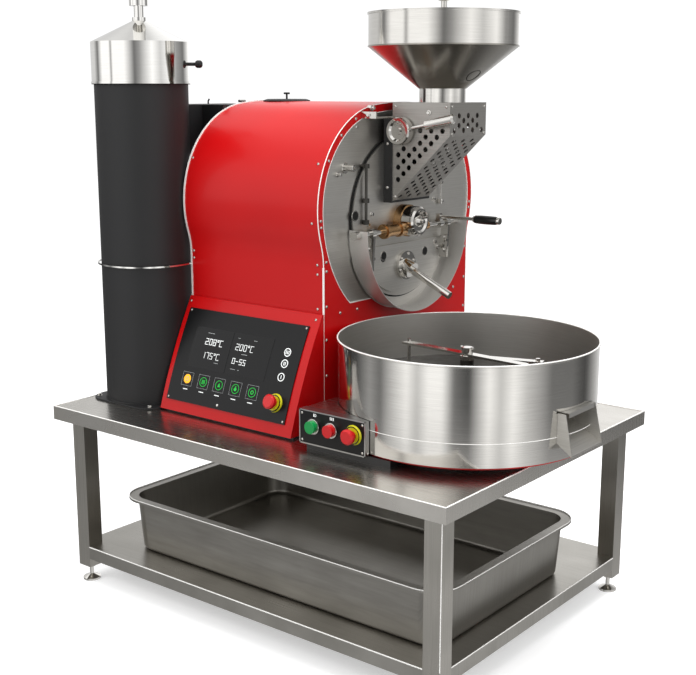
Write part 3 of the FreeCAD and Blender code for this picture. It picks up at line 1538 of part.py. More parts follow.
def console_panel():
    left = BODY_FRONT - cell.panel_right_margin - cell.panel_width
    back = BOW_RADIUS + cell.panel_gap
    plate = bow_slice(back + cell.panel_thickness, left, cell.panel_width, cell.panel_bottom,
                      cell.panel_bottom + cell.panel_height)
    hole = rod(console_stop_at(-cell.overrun), cell.stop_neck_radius + cell.button_clearance,
               (cell.panel_thickness + cell.overrun) * 2, rotation=STOP_TURN)
    name_node(cut(plate, bow_round(back, left - cell.overrun,
                                   cell.panel_width + cell.overrun * 2), hole), "console_panel")


def console_stop_at(out):
    """A place on the stop button's axis, at a distance out of the console's bowed face."""
    reach = BOW_RADIUS + out
    along = STOP_OFFSET / BOW_RADIUS * reach
    above = root(BOW_RADIUS * BOW_RADIUS - STOP_OFFSET * STOP_OFFSET) / BOW_RADIUS * reach
    return on_slope(BODY_FRONT - cell.console_stop_margin, SLOPE_LENGTH / 2 - along,
                    above + cell.console_bow - BOW_RADIUS)


def mushroom(at, rotation):
    """A stop button: a round head over a neck that slides in its ring."""
    neck, head = cell.stop_neck_radius, cell.stop_head_radius
    low = cell.stop_neck_height
    high = low + cell.stop_head_height
    outline = (
        (ZERO, ZERO), (neck, ZERO), (neck, low), (head, low),
        (head, high - cell.stop_head_edge), (head - cell.stop_head_edge, high),
        (ZERO, high),
    )
    return turned(outline, at, rotation=rotation)


def stop_ring(at, rotation):
    ring = cell.stop_ring_radius
    bore = cell.stop_neck_radius + cell.button_clearance
    outline = (
        (bore, ZERO), (ring, ZERO), (ring - cell.stop_ring_height / 2, cell.stop_ring_height),
        (bore, cell.stop_ring_height),
    )
    return turned(outline, at, rotation=rotation)


BOX_LEFT = BODY_FRONT + cell.box_gap
BOX_FRONT = -cell.box_front_reach
BOX_LOW = TABLE_TOP + cell.box_rise
BOX_TURN = FreeCAD.Rotation(FreeCAD.Vector(1, 0, 0), 90)


def on_box(along, out):
    return (BOX_LEFT + along, BOX_FRONT - as_size(out), BOX_LOW + cell.box_button_rise)


def console_stop():
    out = cell.panel_thickness + cell.panel_gap
    name_node(mushroom(console_stop_at(out), STOP_TURN), "console_stop")


def box_stop():
    name_node(mushroom(on_box(cell.box_stop_at, cell.box_face_thickness), BOX_TURN), "box_stop")


def stop_rings():
    first = stop_ring(console_stop_at(cell.panel_thickness + cell.panel_gap * 2), STOP_TURN)
    second = stop_ring(on_box(cell.box_stop_at, cell.box_face_thickness), BOX_TURN)
    name_node(group(first, second), "stop_rings")


def box_holes(depth, start):
    """Holes behind the three buttons of the control box."""
    holes = []
    for along in (cell.box_start_at, cell.box_halt_at):
        holes.append(rod(on_box(along, start), cell.button_radius + cell.button_clearance, depth,
                         rotation=BOX_TURN))
    holes.append(rod(on_box(cell.box_stop_at, start), cell.stop_neck_radius
                     + cell.button_clearance, depth, rotation=BOX_TURN))
    return holes


def bin_room():
    """The round that the cooling bin needs, with a gap."""
    return rod((BIN_X, BIN_Y, TABLE_TOP), cell.bin_radius + cell.bin_gap, TABLE_TOP)


def control_box():
    outside = block((BOX_LEFT, BOX_FRONT, BOX_LOW), cell.box_length, cell.box_depth,
                    cell.box_height)
    deep = cell.button_depth + cell.button_travel
    name_node(cut(outside, bin_room(), *box_holes(deep + cell.overrun, -deep)), "control_box")


def control_face():
    wall = cell.box_wall
    face = block((BOX_LEFT + wall, BOX_FRONT - cell.box_face_thickness, BOX_LOW + wall),
                 cell.box_length - wall * 2, cell.box_face_thickness,
                 cell.box_height - wall * 2)
    through = cell.box_face_thickness + cell.overrun * 2
    name_node(cut(face, *box_holes(through, -cell.overrun)), "control_face")


def push_button(along, label):
    """A round button, its lower end inside the control box."""
    low = cell.box_face_thickness - cell.button_depth
    high = cell.button_height
    outline = (
        (ZERO, ZERO), (cell.button_radius, ZERO),
        (cell.button_radius, high - low - cell.button_clearance * 2),
        (cell.button_radius - cell.button_clearance * 2, high - low),
        (ZERO, high - low),
    )
    name_node(turned(outline, on_box(along, low), rotation=BOX_TURN), label)


def blower_housing():
    front = BOX_FRONT + cell.box_depth
    length = BIN_X - BOX_LEFT
    back = BIN_Y - cell.blower_back_reach
    box = block((BOX_LEFT, front, BOX_LOW), length, back - front, cell.blower_height)
    name_node(cut(box, bin_room()), "blower_housing")


# Cooling bin

GATE_PLATE_Z = BIN_FLOOR_Z - cell.bin_floor_thickness - cell.chute_top_drop


def bin_ring():
    ring = rod((BIN_X, BIN_Y, BIN_Z - cell.bin_ring_height), cell.bin_ring_radius,
               cell.bin_ring_height)
    name_node(ring, "bin_ring")


def chute_envelope(margin):
    """The chute's outer form with a margin, for the holes that it passes through."""
    return chute_solid(-margin, ZERO)


def bin_base():
    outside = rod((BIN_X, BIN_Y, BIN_Z), cell.bin_radius, cell.bin_band_height)
    hollow = rod((BIN_X, BIN_Y, BIN_Z + cell.bin_base_sheet), cell.bin_radius - cell.bin_wall,
                 cell.bin_band_height)
    name_node(cut(outside, hollow, chute_envelope(cell.chute_clearance)), "bin_base")


def bin_wall():
    radius, wall, bead = cell.bin_radius, cell.bin_wall, cell.bin_bead
    height = cell.bin_wall_height
    outline = (
        (radius - wall, ZERO), (radius, ZERO), (radius, height - bead * 2),
        (radius + bead, height - bead - bead / 2), (radius + bead, height - bead / 2),
        (radius, height), (radius - wall, height),
    )
    body = turned(outline, (BIN_X, BIN_Y, BIN_SEAM_Z))
    slot_low = GATE_PLATE_Z - cell.gate_slot
    half = cell.chute_lip_half
    slot = block((BIN_X, cell.chute_centre_y - half, slot_low), cell.bin_radius * 2, half * 2,
                 cell.gate_plate_thickness + cell.gate_slot * 2)
    name_node(cut(body, chute_envelope(cell.chute_clearance), slot), "bin_wall")


def bin_floor():
    disc = rod((BIN_X, BIN_Y, BIN_FLOOR_Z - cell.bin_floor_thickness),
               cell.bin_radius - cell.bin_wall, cell.bin_floor_thickness)
    low = BIN_FLOOR_Z - cell.bin_floor_thickness - cell.overrun
    through = cell.bin_floor_thickness + cell.overrun * 2
    hub = rod((BIN_X, BIN_Y, low), cell.post_radius, through)
    trap_half = cell.chute_back_half - cell.chute_wall * 2
    trap = block((BIN_X + cell.chute_start + cell.chute_wall * 2,
                  cell.chute_centre_y - trap_half, low), cell.trap_length, trap_half * 2, through)
    name_node(cut(disc, hub, trap), "bin_floor")


def chute_solid(inset, lift):
    """The chute as a solid: a widening plan over a sloping floor, drawn in by an inset."""
    start = cell.chute_start + inset
    mouth, lip = cell.chute_mouth, TABLE_RIGHT + cell.chute_overhang - BIN_X
    back, front = cell.chute_back_half - inset, cell.chute_lip_half - inset
    plan = (
        (start, -back), (lip + cell.overrun * 2, -front), (lip + cell.overrun * 2, front),
        (start, back),
    )
    top = GATE_PLATE_Z - BIN_FLOOR_Z
    low = -cell.chute_lip_drop
    tall = cell.chute_lip_drop * 2
    column = pad("XY_Plane", plan, tall, (BIN_X, cell.chute_centre_y, BIN_FLOOR_Z - tall))
    side = (
        (cell.chute_start, top + lift), (mouth, top + lift),
        (lip, low + lift), (lip, low + lift - cell.chute_wall + inset),
        (cell.chute_start, top - cell.chute_wall * 3 + lift + inset),
    )
    profile = pad("XZ_Plane", side, cell.chute_lip_half * 4,
                  (BIN_X, cell.chute_centre_y + cell.chute_lip_half * 2, BIN_FLOOR_Z))
    return overlap(column, profile)


def bin_chute():
    """Two side walls and a sloping floor, open at the top inside the bin and at the lip."""
    wall = cell.chute_wall
    outside = chute_solid(ZERO, ZERO)
    start = cell.chute_start
    lip = TABLE_RIGHT + cell.chute_overhang - BIN_X
    top = GATE_PLATE_Z - BIN_FLOOR_Z
    low = -cell.chute_lip_drop
    back, front = cell.chute_back_half - wall, cell.chute_lip_half - wall
    plan = ((start + wall, -back), (lip + wall * 4, -front), (lip + wall * 4, front),
            (start + wall, back))
    tall = cell.chute_lip_drop * 2
    column = pad("XY_Plane", plan, tall + wall,
                 (BIN_X, cell.chute_centre_y, BIN_FLOOR_Z - tall))
    side = (
        (start, top + wall), (lip + wall * 2, top + wall), (lip + wall * 2, low + wall),
        (lip, low + wall), (start, top - wall * 2),
    )
    profile = pad("XZ_Plane", side, cell.chute_lip_half * 4,
                  (BIN_X, cell.chute_centre_y + cell.chute_lip_half * 2, BIN_FLOOR_Z))
    name_node(cut(outside, overlap(column, profile)), "bin_chute")


def chute_gate():
    """The slide that closes the trap, with a folded lip to pull it by."""
    back = BIN_X + cell.chute_start - cell.gate_plate_back / 4
    front = BIN_X + cell.chute_mouth + cell.gate_plate_thickness
    half = cell.chute_back_half
    z = GATE_PLATE_Z + cell.gate_slot / 4
    plate = block((back, cell.chute_centre_y - half, z), front - back, half * 2,
                  cell.gate_plate_thickness)
    lip = block((front, cell.chute_centre_y - half, z + cell.gate_plate_thickness
                 - cell.gate_lip_height), cell.gate_plate_thickness, half * 2,
                cell.gate_lip_height)
    name_node(join(plate, lip), "chute_gate")


# Agitator

def agitator_drive():
    gear = rod((BIN_X, BIN_Y, BIN_Z + cell.bin_base_sheet), cell.agitator_gear_radius,
               cell.agitator_gear_height)
    start = BIN_Z + cell.bin_base_sheet
    post = rod((BIN_X, BIN_Y, start), cell.post_radius, BIN_FLOOR_Z + cell.post_height - start)
    bore = rod((BIN_X, BIN_Y, BIN_FLOOR_Z), cell.agitator_shaft_radius + cell.shaft_clearance,
               cell.post_height + cell.overrun)
    name_node(cut(join(gear, post), bore), "agitator_drive")


def agitator():
    bar_z = BIN_FLOOR_Z + cell.agitator_bar_rise
    half = cell.agitator_bar_width / 2
    turn = FreeCAD.Rotation(FreeCAD.Vector(0, 0, 1), cell.agitator_angle.value)
    reach = cell.agitator_bar_reach
    way = turn.multVec(FreeCAD.Vector(1, 0, 0))
    side = turn.multVec(FreeCAD.Vector(0, 1, 0))
    bar = block((BIN_X, BIN_Y, bar_z), reach * 2, half * 2, cell.agitator_bar_thickness)
    place(bar, (BIN_X - reach * way.x - half * side.x, BIN_Y - reach * way.y - half * side.y,
                bar_z), turn)
    arm_turn = FreeCAD.Rotation(FreeCAD.Vector(0, 0, 1), cell.agitator_arm_angle.value)
    arm_way = arm_turn.multVec(FreeCAD.Vector(1, 0, 0))
    arm_side = arm_turn.multVec(FreeCAD.Vector(0, 1, 0))
    arm_z = bar_z - cell.agitator_arm_thickness
    arm = block((BIN_X, BIN_Y, arm_z), cell.agitator_arm_reach, half * 2,
                cell.agitator_arm_thickness)
    place(arm, (BIN_X - half * arm_side.x, BIN_Y - half * arm_side.y, arm_z), arm_turn)
    shaft = rod((BIN_X, BIN_Y, BIN_FLOOR_Z + cell.overrun), cell.agitator_shaft_radius,
                cell.agitator_bar_rise)
    hub_low = BIN_FLOOR_Z + cell.post_height + cell.door_gap
    hub = rod((BIN_X, BIN_Y, hub_low), cell.agitator_hub_radius, bar_z - hub_low)
    nut_z = bar_z + cell.agitator_bar_thickness
    nut = rod((BIN_X, BIN_Y, nut_z), cell.agitator_nut_radius, cell.agitator_nut_height)
    pieces = [bar, arm, shaft, hub, nut]
    low = BIN_FLOOR_Z + cell.agitator_floor_gap
    for end in (-1, 1):
        out = (reach - cell.agitator_rod_inset) * end
        x, y = BIN_X + out * way.x, BIN_Y + out * way.y
        pieces.append(rod((x, y, low), cell.agitator_rod_radius,
                          nut_z + cell.agitator_rod_radius * 2 - low))
    out = cell.agitator_arm_reach - cell.agitator_rod_inset
    x, y = BIN_X + out * arm_way.x, BIN_Y + out * arm_way.y
    pieces.append(rod((x, y, low), cell.agitator_rod_radius, bar_z - low))
    pieces.append(rod((x, y, bar_z), cell.agitator_arm_bolt_radius,
                      cell.agitator_arm_bolt_height))
    name_node(join(*pieces), "agitator")


# Cyclone

def cyclone_tube():
    """The tube on its foot flange."""
    flange = rod((CYCLONE_X, CYCLONE_Y, TABLE_TOP), cell.cyclone_flange_radius,
                 cell.cyclone_flange_height)
    low = TABLE_TOP + cell.cyclone_flange_height
    height = cell.cyclone_top_rise - cell.cyclone_flange_height
    pipe = tube((CYCLONE_X, CYCLONE_Y, low), cell.cyclone_radius,
                cell.cyclone_radius - cell.cyclone_wall, height)
    name_node(join(flange, pipe), "cyclone_tube")


def cyclone_hoop():
    z = TABLE_TOP + cell.hoop_rise
    ring = tube((CYCLONE_X, CYCLONE_Y, z), cell.hoop_radius, cell.hoop_radius - cell.hoop_bar,
                cell.hoop_bar)
    lugs = []
    for angle in (90, 210, 330):
        way = FreeCAD.Rotation(FreeCAD.Vector(0, 0, 1), angle)
        lug = document.addObject("Part::Box", "lug")
        bind(lug, Length=cell.hoop_radius - cell.cyclone_radius - cell.hoop_bar / 2,
             Width=cell.hoop_bar, Height=cell.hoop_bar)
        out = way.multVec(FreeCAD.Vector(1, 0, 0))
        side = way.multVec(FreeCAD.Vector(0, -1, 0))
        start, half = cell.cyclone_radius, cell.hoop_bar / 2
        place(lug, (CYCLONE_X + start * out.x + half * side.x,
                    CYCLONE_Y + start * out.y + half * side.y, z), way)
        lugs.append(lug)
    name_node(join(ring, *lugs), "cyclone_hoop")


def cyclone_cap():
    wall, radius, cyclone = cell.cap_wall, cell.cap_radius, cell.cyclone_radius
    flange, height, rise = cell.cap_flange_height, cell.cap_height, cell.cap_cone_height
    neck = cell.flue_collar_radius
    outline = (
        (cyclone - wall * 4, ZERO), (radius + wall, ZERO), (radius + wall, flange),
        (radius, flange), (radius, flange + height), (neck, flange + height + rise),
        (neck - wall * 3, flange + height + rise), (radius - wall, flange + height - wall),
        (radius - wall, flange), (cyclone - wall * 4, flange),
    )
    name_node(turned(outline, (CYCLONE_X, CYCLONE_Y, TABLE_TOP + cell.cyclone_top_rise)),
              "cyclone_cap")


def exhaust_stack():
    collar, neck, pipe = cell.flue_collar_radius, cell.flue_neck_radius, cell.flue_radius
    first = cell.flue_collar_height
    second = first + cell.flue_neck_height
    third = second + cell.flue_height
    wall = cell.cap_wall
    outline = (
        (neck - wall, ZERO), (collar, ZERO), (collar, first), (neck, first),
        (neck, second), (pipe, second), (pipe, third), (pipe - wall, third),
        (pipe - wall, second + wall), (neck - wall, second + wall),
    )
    z = (TABLE_TOP + cell.cyclone_top_rise + cell.cap_flange_height + cell.cap_height
         + cell.cap_cone_height)
    name_node(turned(outline, (CYCLONE_X, CYCLONE_Y, z)), "exhaust_stack")


def cap_knob():
    angle = math.radians(cell.cap_knob_azimuth.value)
    out_x, out_y = math.cos(angle), math.sin(angle)
    turn = FreeCAD.Rotation(FreeCAD.Vector(0, 0, 1), cell.cap_knob_azimuth.value).multiply(
        TURNS["X"])
    stem, ball = cell.cap_knob_stem, cell.cap_knob_radius
    stem_radius = cell.cap_knob_stem_radius
    step = cell.cap_knob_step
    end = stem + ball * 2
    outline = (
        (ZERO, ZERO), (stem_radius, ZERO), (stem_radius, stem), (ball - step, stem + step),
        (ball, stem + step * 3), (ball, end - step * 3), (ball - step, end - step),
        (ball - step * 3, end), (ZERO, end),
    )
    start = cell.cap_radius + cell.door_gap
    at = (CYCLONE_X + start * out_x, CYCLONE_Y + start * out_y, TABLE_TOP + cell.cap_knob_rise)
    name_node(turned(outline, at, rotation=turn), "cap_knob")


# Exhaust duct from the drum's hood to the cyclone

DUCT_TOP = TABLE_TOP + cell.duct_high_rise
DUCT_LOW = TABLE_TOP + cell.duct_low_rise


def exhaust_duct():
    height = DUCT_TOP - DUCT_LOW
    front = AXIS_Y - cell.duct_front_reach
    back = AXIS_Y + cell.duct_back_reach
    main = block((BODY_REAR - cell.duct_length, front, DUCT_LOW), cell.duct_length, back - front,
                 height)
    branch = block((BODY_REAR - cell.duct_branch_start - cell.duct_branch_length, CYCLONE_Y,
                    DUCT_LOW), cell.duct_branch_length, front - CYCLONE_Y + cell.overrun, height)
    room = rod((CYCLONE_X, CYCLONE_Y, TABLE_TOP), cell.cyclone_radius, TABLE_TOP * 2)
    spindle = rod(damper_at(DUCT_TOP - cell.damper_spindle_height * 2 - cell.overrun),
                  cell.damper_spindle_radius + cell.shaft_clearance, height)
    name_node(cut(join(main, branch), room, spindle), "exhaust_duct")


def damper_at(z):
    return (BODY_REAR - cell.damper_setback, AXIS_Y - cell.damper_offset, z)


def damper_handle():
    low = DUCT_TOP - cell.damper_spindle_height * 2
    top = DUCT_TOP + cell.damper_spindle_height
    spindle = rod(damper_at(low), cell.damper_spindle_radius, top - low)
    x, y, z = damper_at(top)
    bar = rod((x, y - cell.damper_bar_length / 2, z), cell.damper_bar_radius,
              cell.damper_bar_length, "Y")
    name_node(join(spindle, bar), "damper_handle")


def build():
    table_top()
    table_legs()
    levelling_feet()
    lower_shelf()
    bean_pan()
    machine_base()
    body_shell()
    rear_panel()
    front_frame()
    front_plate()
    cover_gasket()
    drum_cover()
    cover_clamps()
    drum()
    drum_shaft()
    drive_motor()
    burner()
    bearing_housing()
    front_bearing()
    discharge_door()
    discharge_shafts()
    discharge_lever()
    lever_grip()
    sampler_flange()
    sampler()
    trough()
    feed_spacer()
    feed_box()
    feed_gate()
    feed_lever()
    feed_grip()
    feed_stay()
    hopper_neck()
    hopper()
    hopper_lid()
    console_housing()
    console_panel()
    console_stop()
    box_stop()
    stop_rings()
    control_box()
    control_face()
    push_button(cell.box_start_at, "start_button")
    push_button(cell.box_halt_at, "halt_button")
    blower_housing()
    bin_ring()
    bin_base()
    bin_wall()
    bin_floor()
    bin_chute()
    chute_gate()
    agitator_drive()
    agitator()
    cyclone_tube()
    cyclone_hoop()
    cyclone_cap()
    exhaust_stack()
    cap_knob()
    exhaust_duct()
    damper_handle()


def check_and_write():
    """Checks every object and shape, then writes each sub-part to its file."""
    document.recompute()
    for item in document.Objects:
        if "Invalid" in item.State or "Error" in item.State:
            raise RuntimeError(f"{item.Name} ({item.Label}) failed: {item.State}")
    for label, piece in NODES.items():
        if piece.Shape.isNull() or not piece.Shape.isValid() or not piece.Shape.Solids:
            raise RuntimeError(f"{label} has no valid solid")
    os.makedirs("parts", exist_ok=True)
    for label, piece in NODES.items():
        piece.Shape.exportStep(f"parts/{label}.step")
    print(len(NODES), "sub-parts written")


build()
check_and_write()
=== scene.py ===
import math

import bmesh
import bpy
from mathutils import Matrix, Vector


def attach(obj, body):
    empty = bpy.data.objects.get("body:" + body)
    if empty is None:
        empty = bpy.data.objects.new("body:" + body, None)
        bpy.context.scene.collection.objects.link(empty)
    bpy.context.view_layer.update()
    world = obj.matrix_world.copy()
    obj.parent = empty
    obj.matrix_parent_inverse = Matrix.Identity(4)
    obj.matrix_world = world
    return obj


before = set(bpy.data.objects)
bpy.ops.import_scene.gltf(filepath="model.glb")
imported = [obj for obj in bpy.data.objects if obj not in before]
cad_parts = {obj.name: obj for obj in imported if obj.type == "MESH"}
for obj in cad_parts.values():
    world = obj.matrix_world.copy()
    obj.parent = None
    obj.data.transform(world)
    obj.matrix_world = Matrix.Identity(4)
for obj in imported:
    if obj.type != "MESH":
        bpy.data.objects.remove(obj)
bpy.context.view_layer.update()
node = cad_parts
MM = 0.001


# Camera, solved from the corners of the table

def make_camera(place, pitch_deg, turn_deg, lens_mm):
    lens = bpy.data.cameras.new("camera")
    lens.lens = lens_mm
    lens.sensor_width = 36
    lens.clip_end = 60
    camera = bpy.data.objects.new("camera", lens)
    camera.location = place
    camera.rotation_euler = (math.radians(pitch_deg), 0, math.radians(turn_deg))
    bpy.context.scene.collection.objects.link(camera)
    bpy.context.scene.camera = camera


make_camera((2.0355, -2.6156, 1.4737), 78.02, 38.51, 60.82)
bpy.context.scene.view_settings.view_transform = "Standard"


# Lines and faces of the machine that finishes and pieces keep to. They are in millimetres from
# the floor under its middle, with Z up, -Y to the operator and +X to the cooling bin's chute.

X, Y, Z = Vector((1, 0, 0)), Vector((0, 1, 0)), Vector((0, 0, 1))
MIDDLE = 144.0
BEARING_UP, COVER_UP = 1100.0, 1112.0
FRAME_FACE, REAR_FACE, PLATE_FACE = 34.5, -472.5, 31.5
COVER_FACE, DOOR_FACE = 41.5, 50.0
HOPPER_X, BIN_X, BIN_Y = 173.5, 382.5, -29.0
CYCLONE_X, CYCLONE_Y = -611.5, -254.0
CONE_LOW, CONE_HIGH = 1471, 1588
CONE_FOOT, CONE_TOP = 64.5, 209.0
# The bin wall's outer radius, and the radius outside which its steel is ground bright.
BIN_OUT, BIN_SKIN = 345.0, 344.0
BIN_TOP, BIN_JOINT = 828, 635
TABLE_LEFT, TABLE_RIGHT, TABLE_HALF_DEPTH, TABLE_UP = -750.5, 649.5, 520.0, 550.0


# Colours and shader nodes

def srgb(code):
    """The linear colour that an sRGB hex code stands for."""
    parts = [int(code[i:i + 2], 16) / 255 for i in (1, 3, 5)]
    return tuple(p / 12.92 if p <= 0.04045 else ((p + 0.055) / 1.055) ** 2.4
                 for p in parts) + (1.0,)


def add(tree, kind, settings=None, **links):
    """Adds a shader node. A link's value is a socket or a constant; _ stands for a space."""
    made = tree.nodes.new(kind)
    for name, value in (settings or {}).items():
        setattr(made, name, value)
    for name, value in links.items():
        socket = made.inputs[int(name[1:]) if name[1:].isdigit() else name.replace("_", " ")]
        if isinstance(value, bpy.types.NodeSocket):
            tree.links.new(value, socket)
        else:
            socket.default_value = value
    return made


def ramp(tree, factor, stops):
    """A colour ramp through (place, hex colour) stops."""
    made = add(tree, "ShaderNodeValToRGB", Fac=factor)
    line = made.color_ramp
    line.elements[0].position, line.elements[0].color = stops[0][0], srgb(stops[0][1])
    line.elements[1].position, line.elements[1].color = stops[-1][0], srgb(stops[-1][1])
    for place, code in stops[1:-1]:
        line.elements.new(place).color = srgb(code)
    return made.outputs["Color"]


def pattern(tree, size_mm, detail=2.0, rough=0.5):
    """Noise whose grain is size_mm long on X, Y and Z."""
    place = add(tree, "ShaderNodeTexCoord").outputs["Object"]
    grain = add(tree, "ShaderNodeMapping", Vector=place,
                Scale=tuple(1 / (s * MM) for s in size_mm))
    return add(tree, "ShaderNodeTexNoise", Vector=grain.outputs["Vector"], Scale=1.0,
               Detail=detail, Roughness=rough).outputs["Fac"]


def finish(name, **sockets):
    """A material with one Principled shader. Returns the material, its tree and the shader."""
    material = bpy.data.materials.new(name)
    material.use_nodes = True
    tree = material.node_tree
    shader = tree.nodes["Principled BSDF"]
    for key, value in sockets.items():
        shader.inputs[key.replace("_", " ")].default_value = value
    return material, tree, shader


def relief(tree, shader, height, depth_mm):
    bump = add(tree, "ShaderNodeBump", Height=height, Distance=depth_mm * MM, Strength=1.0)
    tree.links.new(bump.outputs["Normal"], shader.inputs["Normal"])


def mottle(tree, shader, code, patches, least):
    """One colour that darkens to a least share of itself where the patches are strong."""
    base = srgb(code)
    made = add(tree, "ShaderNodeMix", {"data_type": "RGBA"}, Factor=patches)
    made.inputs[6].default_value = base
    made.inputs[7].default_value = tuple(c * least for c in base[:3]) + (1.0,)
    tree.links.new(made.outputs[2], shader.inputs["Base Color"])


def steel(name, light, dark, roughness, grain_mm, depth_mm):
    """Stainless steel, ground along its longest grain: fine lines, faint cloudy patches."""
    material, tree, shader = finish(name, Metallic=1.0)
    lines = pattern(tree, grain_mm, 3.0, 0.6)
    clouds = pattern(tree, (140, 140, 140), 2.0)
    cloud_share = add(tree, "ShaderNodeMath", {"operation": "MULTIPLY"}, _0=clouds, _1=0.4)
    mixed = add(tree, "ShaderNodeMath", {"operation": "MULTIPLY_ADD"}, _0=lines, _1=0.6,
                _2=cloud_share.outputs[0]).outputs[0]
    tree.links.new(ramp(tree, mixed, [(0.3, dark), (0.7, light)]), shader.inputs["Base Color"])
    rough = add(tree, "ShaderNodeMapRange", _0=mixed, _1=0.3, _2=0.7, _3=roughness * 1.2,
                _4=roughness * 0.85).outputs[0]
    tree.links.new(rough, shader.inputs["Roughness"])
    relief(tree, shader, lines, depth_mm)
    return material


def split_roughness(tree, shader, measure, limit_mm, below, above):
    """Changes the roughness where a measure passes a limit. Returns the step from 0 to 1."""
    past = add(tree, "ShaderNodeMath", {"operation": "GREATER_THAN"}, _0=measure,
               _1=limit_mm * MM).outputs[0]
    rough = add(tree, "ShaderNodeMapRange", _0=past, _3=below, _4=above).outputs[0]
    tree.links.new(rough, shader.inputs["Roughness"])
    return past


# Real finishes. Grain sizes are in millimetres; the real lines are about 0.1 mm wide and are
# drawn up to 1 mm wide so that they show at the picture's scale of 2.9 mm to a pixel.

SHEET_X = (160, 1.1, 160)
SHEET_Z = (1.1, 1.1, 160)
PLATE_Y = (1.2, 120, 1.2)
FOLDED_X = (160, 160, 1.2)
ROUND_Z = (90, 90, 1.0)
ROLLED_LIGHT, ROLLED_DARK, ROLLED_ROUGH, ROLLED_DEPTH = "#e6e4df", "#d2cfca", 0.11, 0.02

# Brushed 304 stainless sheet: a satin grey with streaks along the table.
table_sheet = steel("brushed stainless sheet", "#dcd9d3", "#c2beb7", 0.26, SHEET_X, 0.012)
# Brushed square tube: a darker steel with its lines up the leg.
leg_tube = steel("brushed stainless tube", "#c2beb7", "#a8a59e", 0.3, SHEET_Z, 0.012)
# Pressed, darker stainless of the pan: duller and a little brown.
pan_sheet = steel("pressed dark stainless", "#a5a29c", "#918e88", 0.34, SHEET_X, 0.008)
# Rolled and ground stainless of the bin's base, the hopper's lid and its neck: lines round the
# wall, so the light stands on it in upright bands.
rolled_sheet = steel("ground rolled stainless", ROLLED_LIGHT, ROLLED_DARK, ROLLED_ROUGH, ROUND_Z,
                     ROLLED_DEPTH)


def bin_steel(name, inside_rough):
    """Rolled steel that is ground bright outside a radius and wiped dull inside it."""
    material = steel(name, ROLLED_LIGHT, ROLLED_DARK, ROLLED_ROUGH, ROUND_Z, ROLLED_DEPTH)
    tree = material.node_tree
    place = add(tree, "ShaderNodeSeparateXYZ",
                Vector=add(tree, "ShaderNodeTexCoord").outputs["Object"])
    flat = add(tree, "ShaderNodeCombineXYZ", X=place.outputs["X"], Y=place.outputs["Y"])
    reach = add(tree, "ShaderNodeVectorMath", {"operation": "DISTANCE"}, _0=flat.outputs[0],
                _1=(BIN_X * MM, BIN_Y * MM, 0)).outputs["Value"]
    split_roughness(tree, tree.nodes["Principled BSDF"], reach, BIN_SKIN, inside_rough,
                    ROLLED_ROUGH)
    return material


def hopper_steel(name, cone_code, cone_rough):
    """Rolled steel above the hopper's seam and a darker, less finished cone below it."""
    material = steel(name, ROLLED_LIGHT, ROLLED_DARK, ROLLED_ROUGH, ROUND_Z, ROLLED_DEPTH)
    tree = material.node_tree
    shader = tree.nodes["Principled BSDF"]
    height = add(tree, "ShaderNodeSeparateXYZ",
                 Vector=add(tree, "ShaderNodeTexCoord").outputs["Object"]).outputs["Z"]
    above = split_roughness(tree, shader, height, CONE_HIGH, cone_rough, ROLLED_ROUGH)
    tint = add(tree, "ShaderNodeMix", {"data_type": "RGBA", "blend_type": "MULTIPLY"}, Factor=1.0)
    tree.links.new(shader.inputs["Base Color"].links[0].from_socket, tint.inputs[6])
    tree.links.new(ramp(tree, above, [(0.0, cone_code), (1.0, "#ffffff")]), tint.inputs[7])
    tree.links.new(tint.outputs[2], shader.inputs["Base Color"])
    return material


# The bin's wall: ground bright outside and duller inside, where the beans rub it.
bin_sheet = bin_steel("ground bin wall stainless", 0.36)
# The hopper: a bright rolled band over a duller cone.
hopper_sheet = hopper_steel("rolled hopper stainless", "#c4c2be", 0.22)
# Polished cap and stack of the cyclone: nearly a mirror, with crisp upright bands.
cap_sheet = steel("polished spun stainless", "#f3f2ef", "#e4e2de", 0.06, ROUND_Z, 0.008)
# Folded sheet of the chute: satin, without the wall's bands.
chute_sheet = steel("satin folded stainless", "#d5d3ce", "#bfbcb6", 0.4, FOLDED_X, 0.01)
# The shelf's sheet: unpolished, so a shade darker than the table's top.
shelf_sheet = steel("mill-finish stainless sheet", "#b7b4ae", "#9c9992", 0.3, SHEET_X, 0.01)
# Folded and deburred edges of the sheets, coloured near white as a painted highlight: the bright
# line that light draws along a rounded edge, shown as a thin pale line from every side. The lower
# Metallic keeps that painted highlight the same from every side.
painted_highlight_edge = steel("sheet edge painted highlight", "#f7f6f3", "#efede9", 0.55, (3, 3, 3), 0.002)
painted_highlight_edge.node_tree.nodes["Principled BSDF"].inputs["Metallic"].default_value = 0.3
# Folded and punched sheet of the feed box: a shade darker than the plate behind it.
box_sheet = steel("folded perforated stainless", "#c0bdb8", "#a7a49f", 0.46, FOLDED_X, 0.01)
# Dull rolled band of the trough under the door: without reflections that can be read, and pale as
# a painted highlight for the bright sheen it shows.
band_sheet = steel("satin rolled band", "#f1efec", "#dfddd9", 0.5, PLATE_Y, 0.01)
# Ground plate of the drum's front: an even dull grey.
ground_plate = steel("ground stainless plate", "#dfddd8", "#c4c1bb", 0.4, PLATE_Y, 0.012)
# Turned and polished steel: shafts, handles and buttons' rims, near a mirror.
turned_steel = steel("turned polished steel", "#e4e2dd", "#d0cdc8", 0.09, (3, 3, 3), 0.003)
# Heat-darkened steel of the drum and the bin's sieve: a warm near-black with little shine.
dark_steel = steel("heat-darkened steel", "#5b5955", "#454340", 0.42, (40, 40, 40), 0.01)
# Brushed aluminium of the control box: lighter than the table, its lines along the box.
aluminium = steel("brushed aluminium", "#b9b8b6", "#a3a2a0", 0.34, (120, 1, 1), 0.01)
# Bearing bronze: warm and half polished.
bronze = steel("bearing bronze", "#d3ab7e", "#ab8459", 0.24, (4, 4, 4), 0.003)


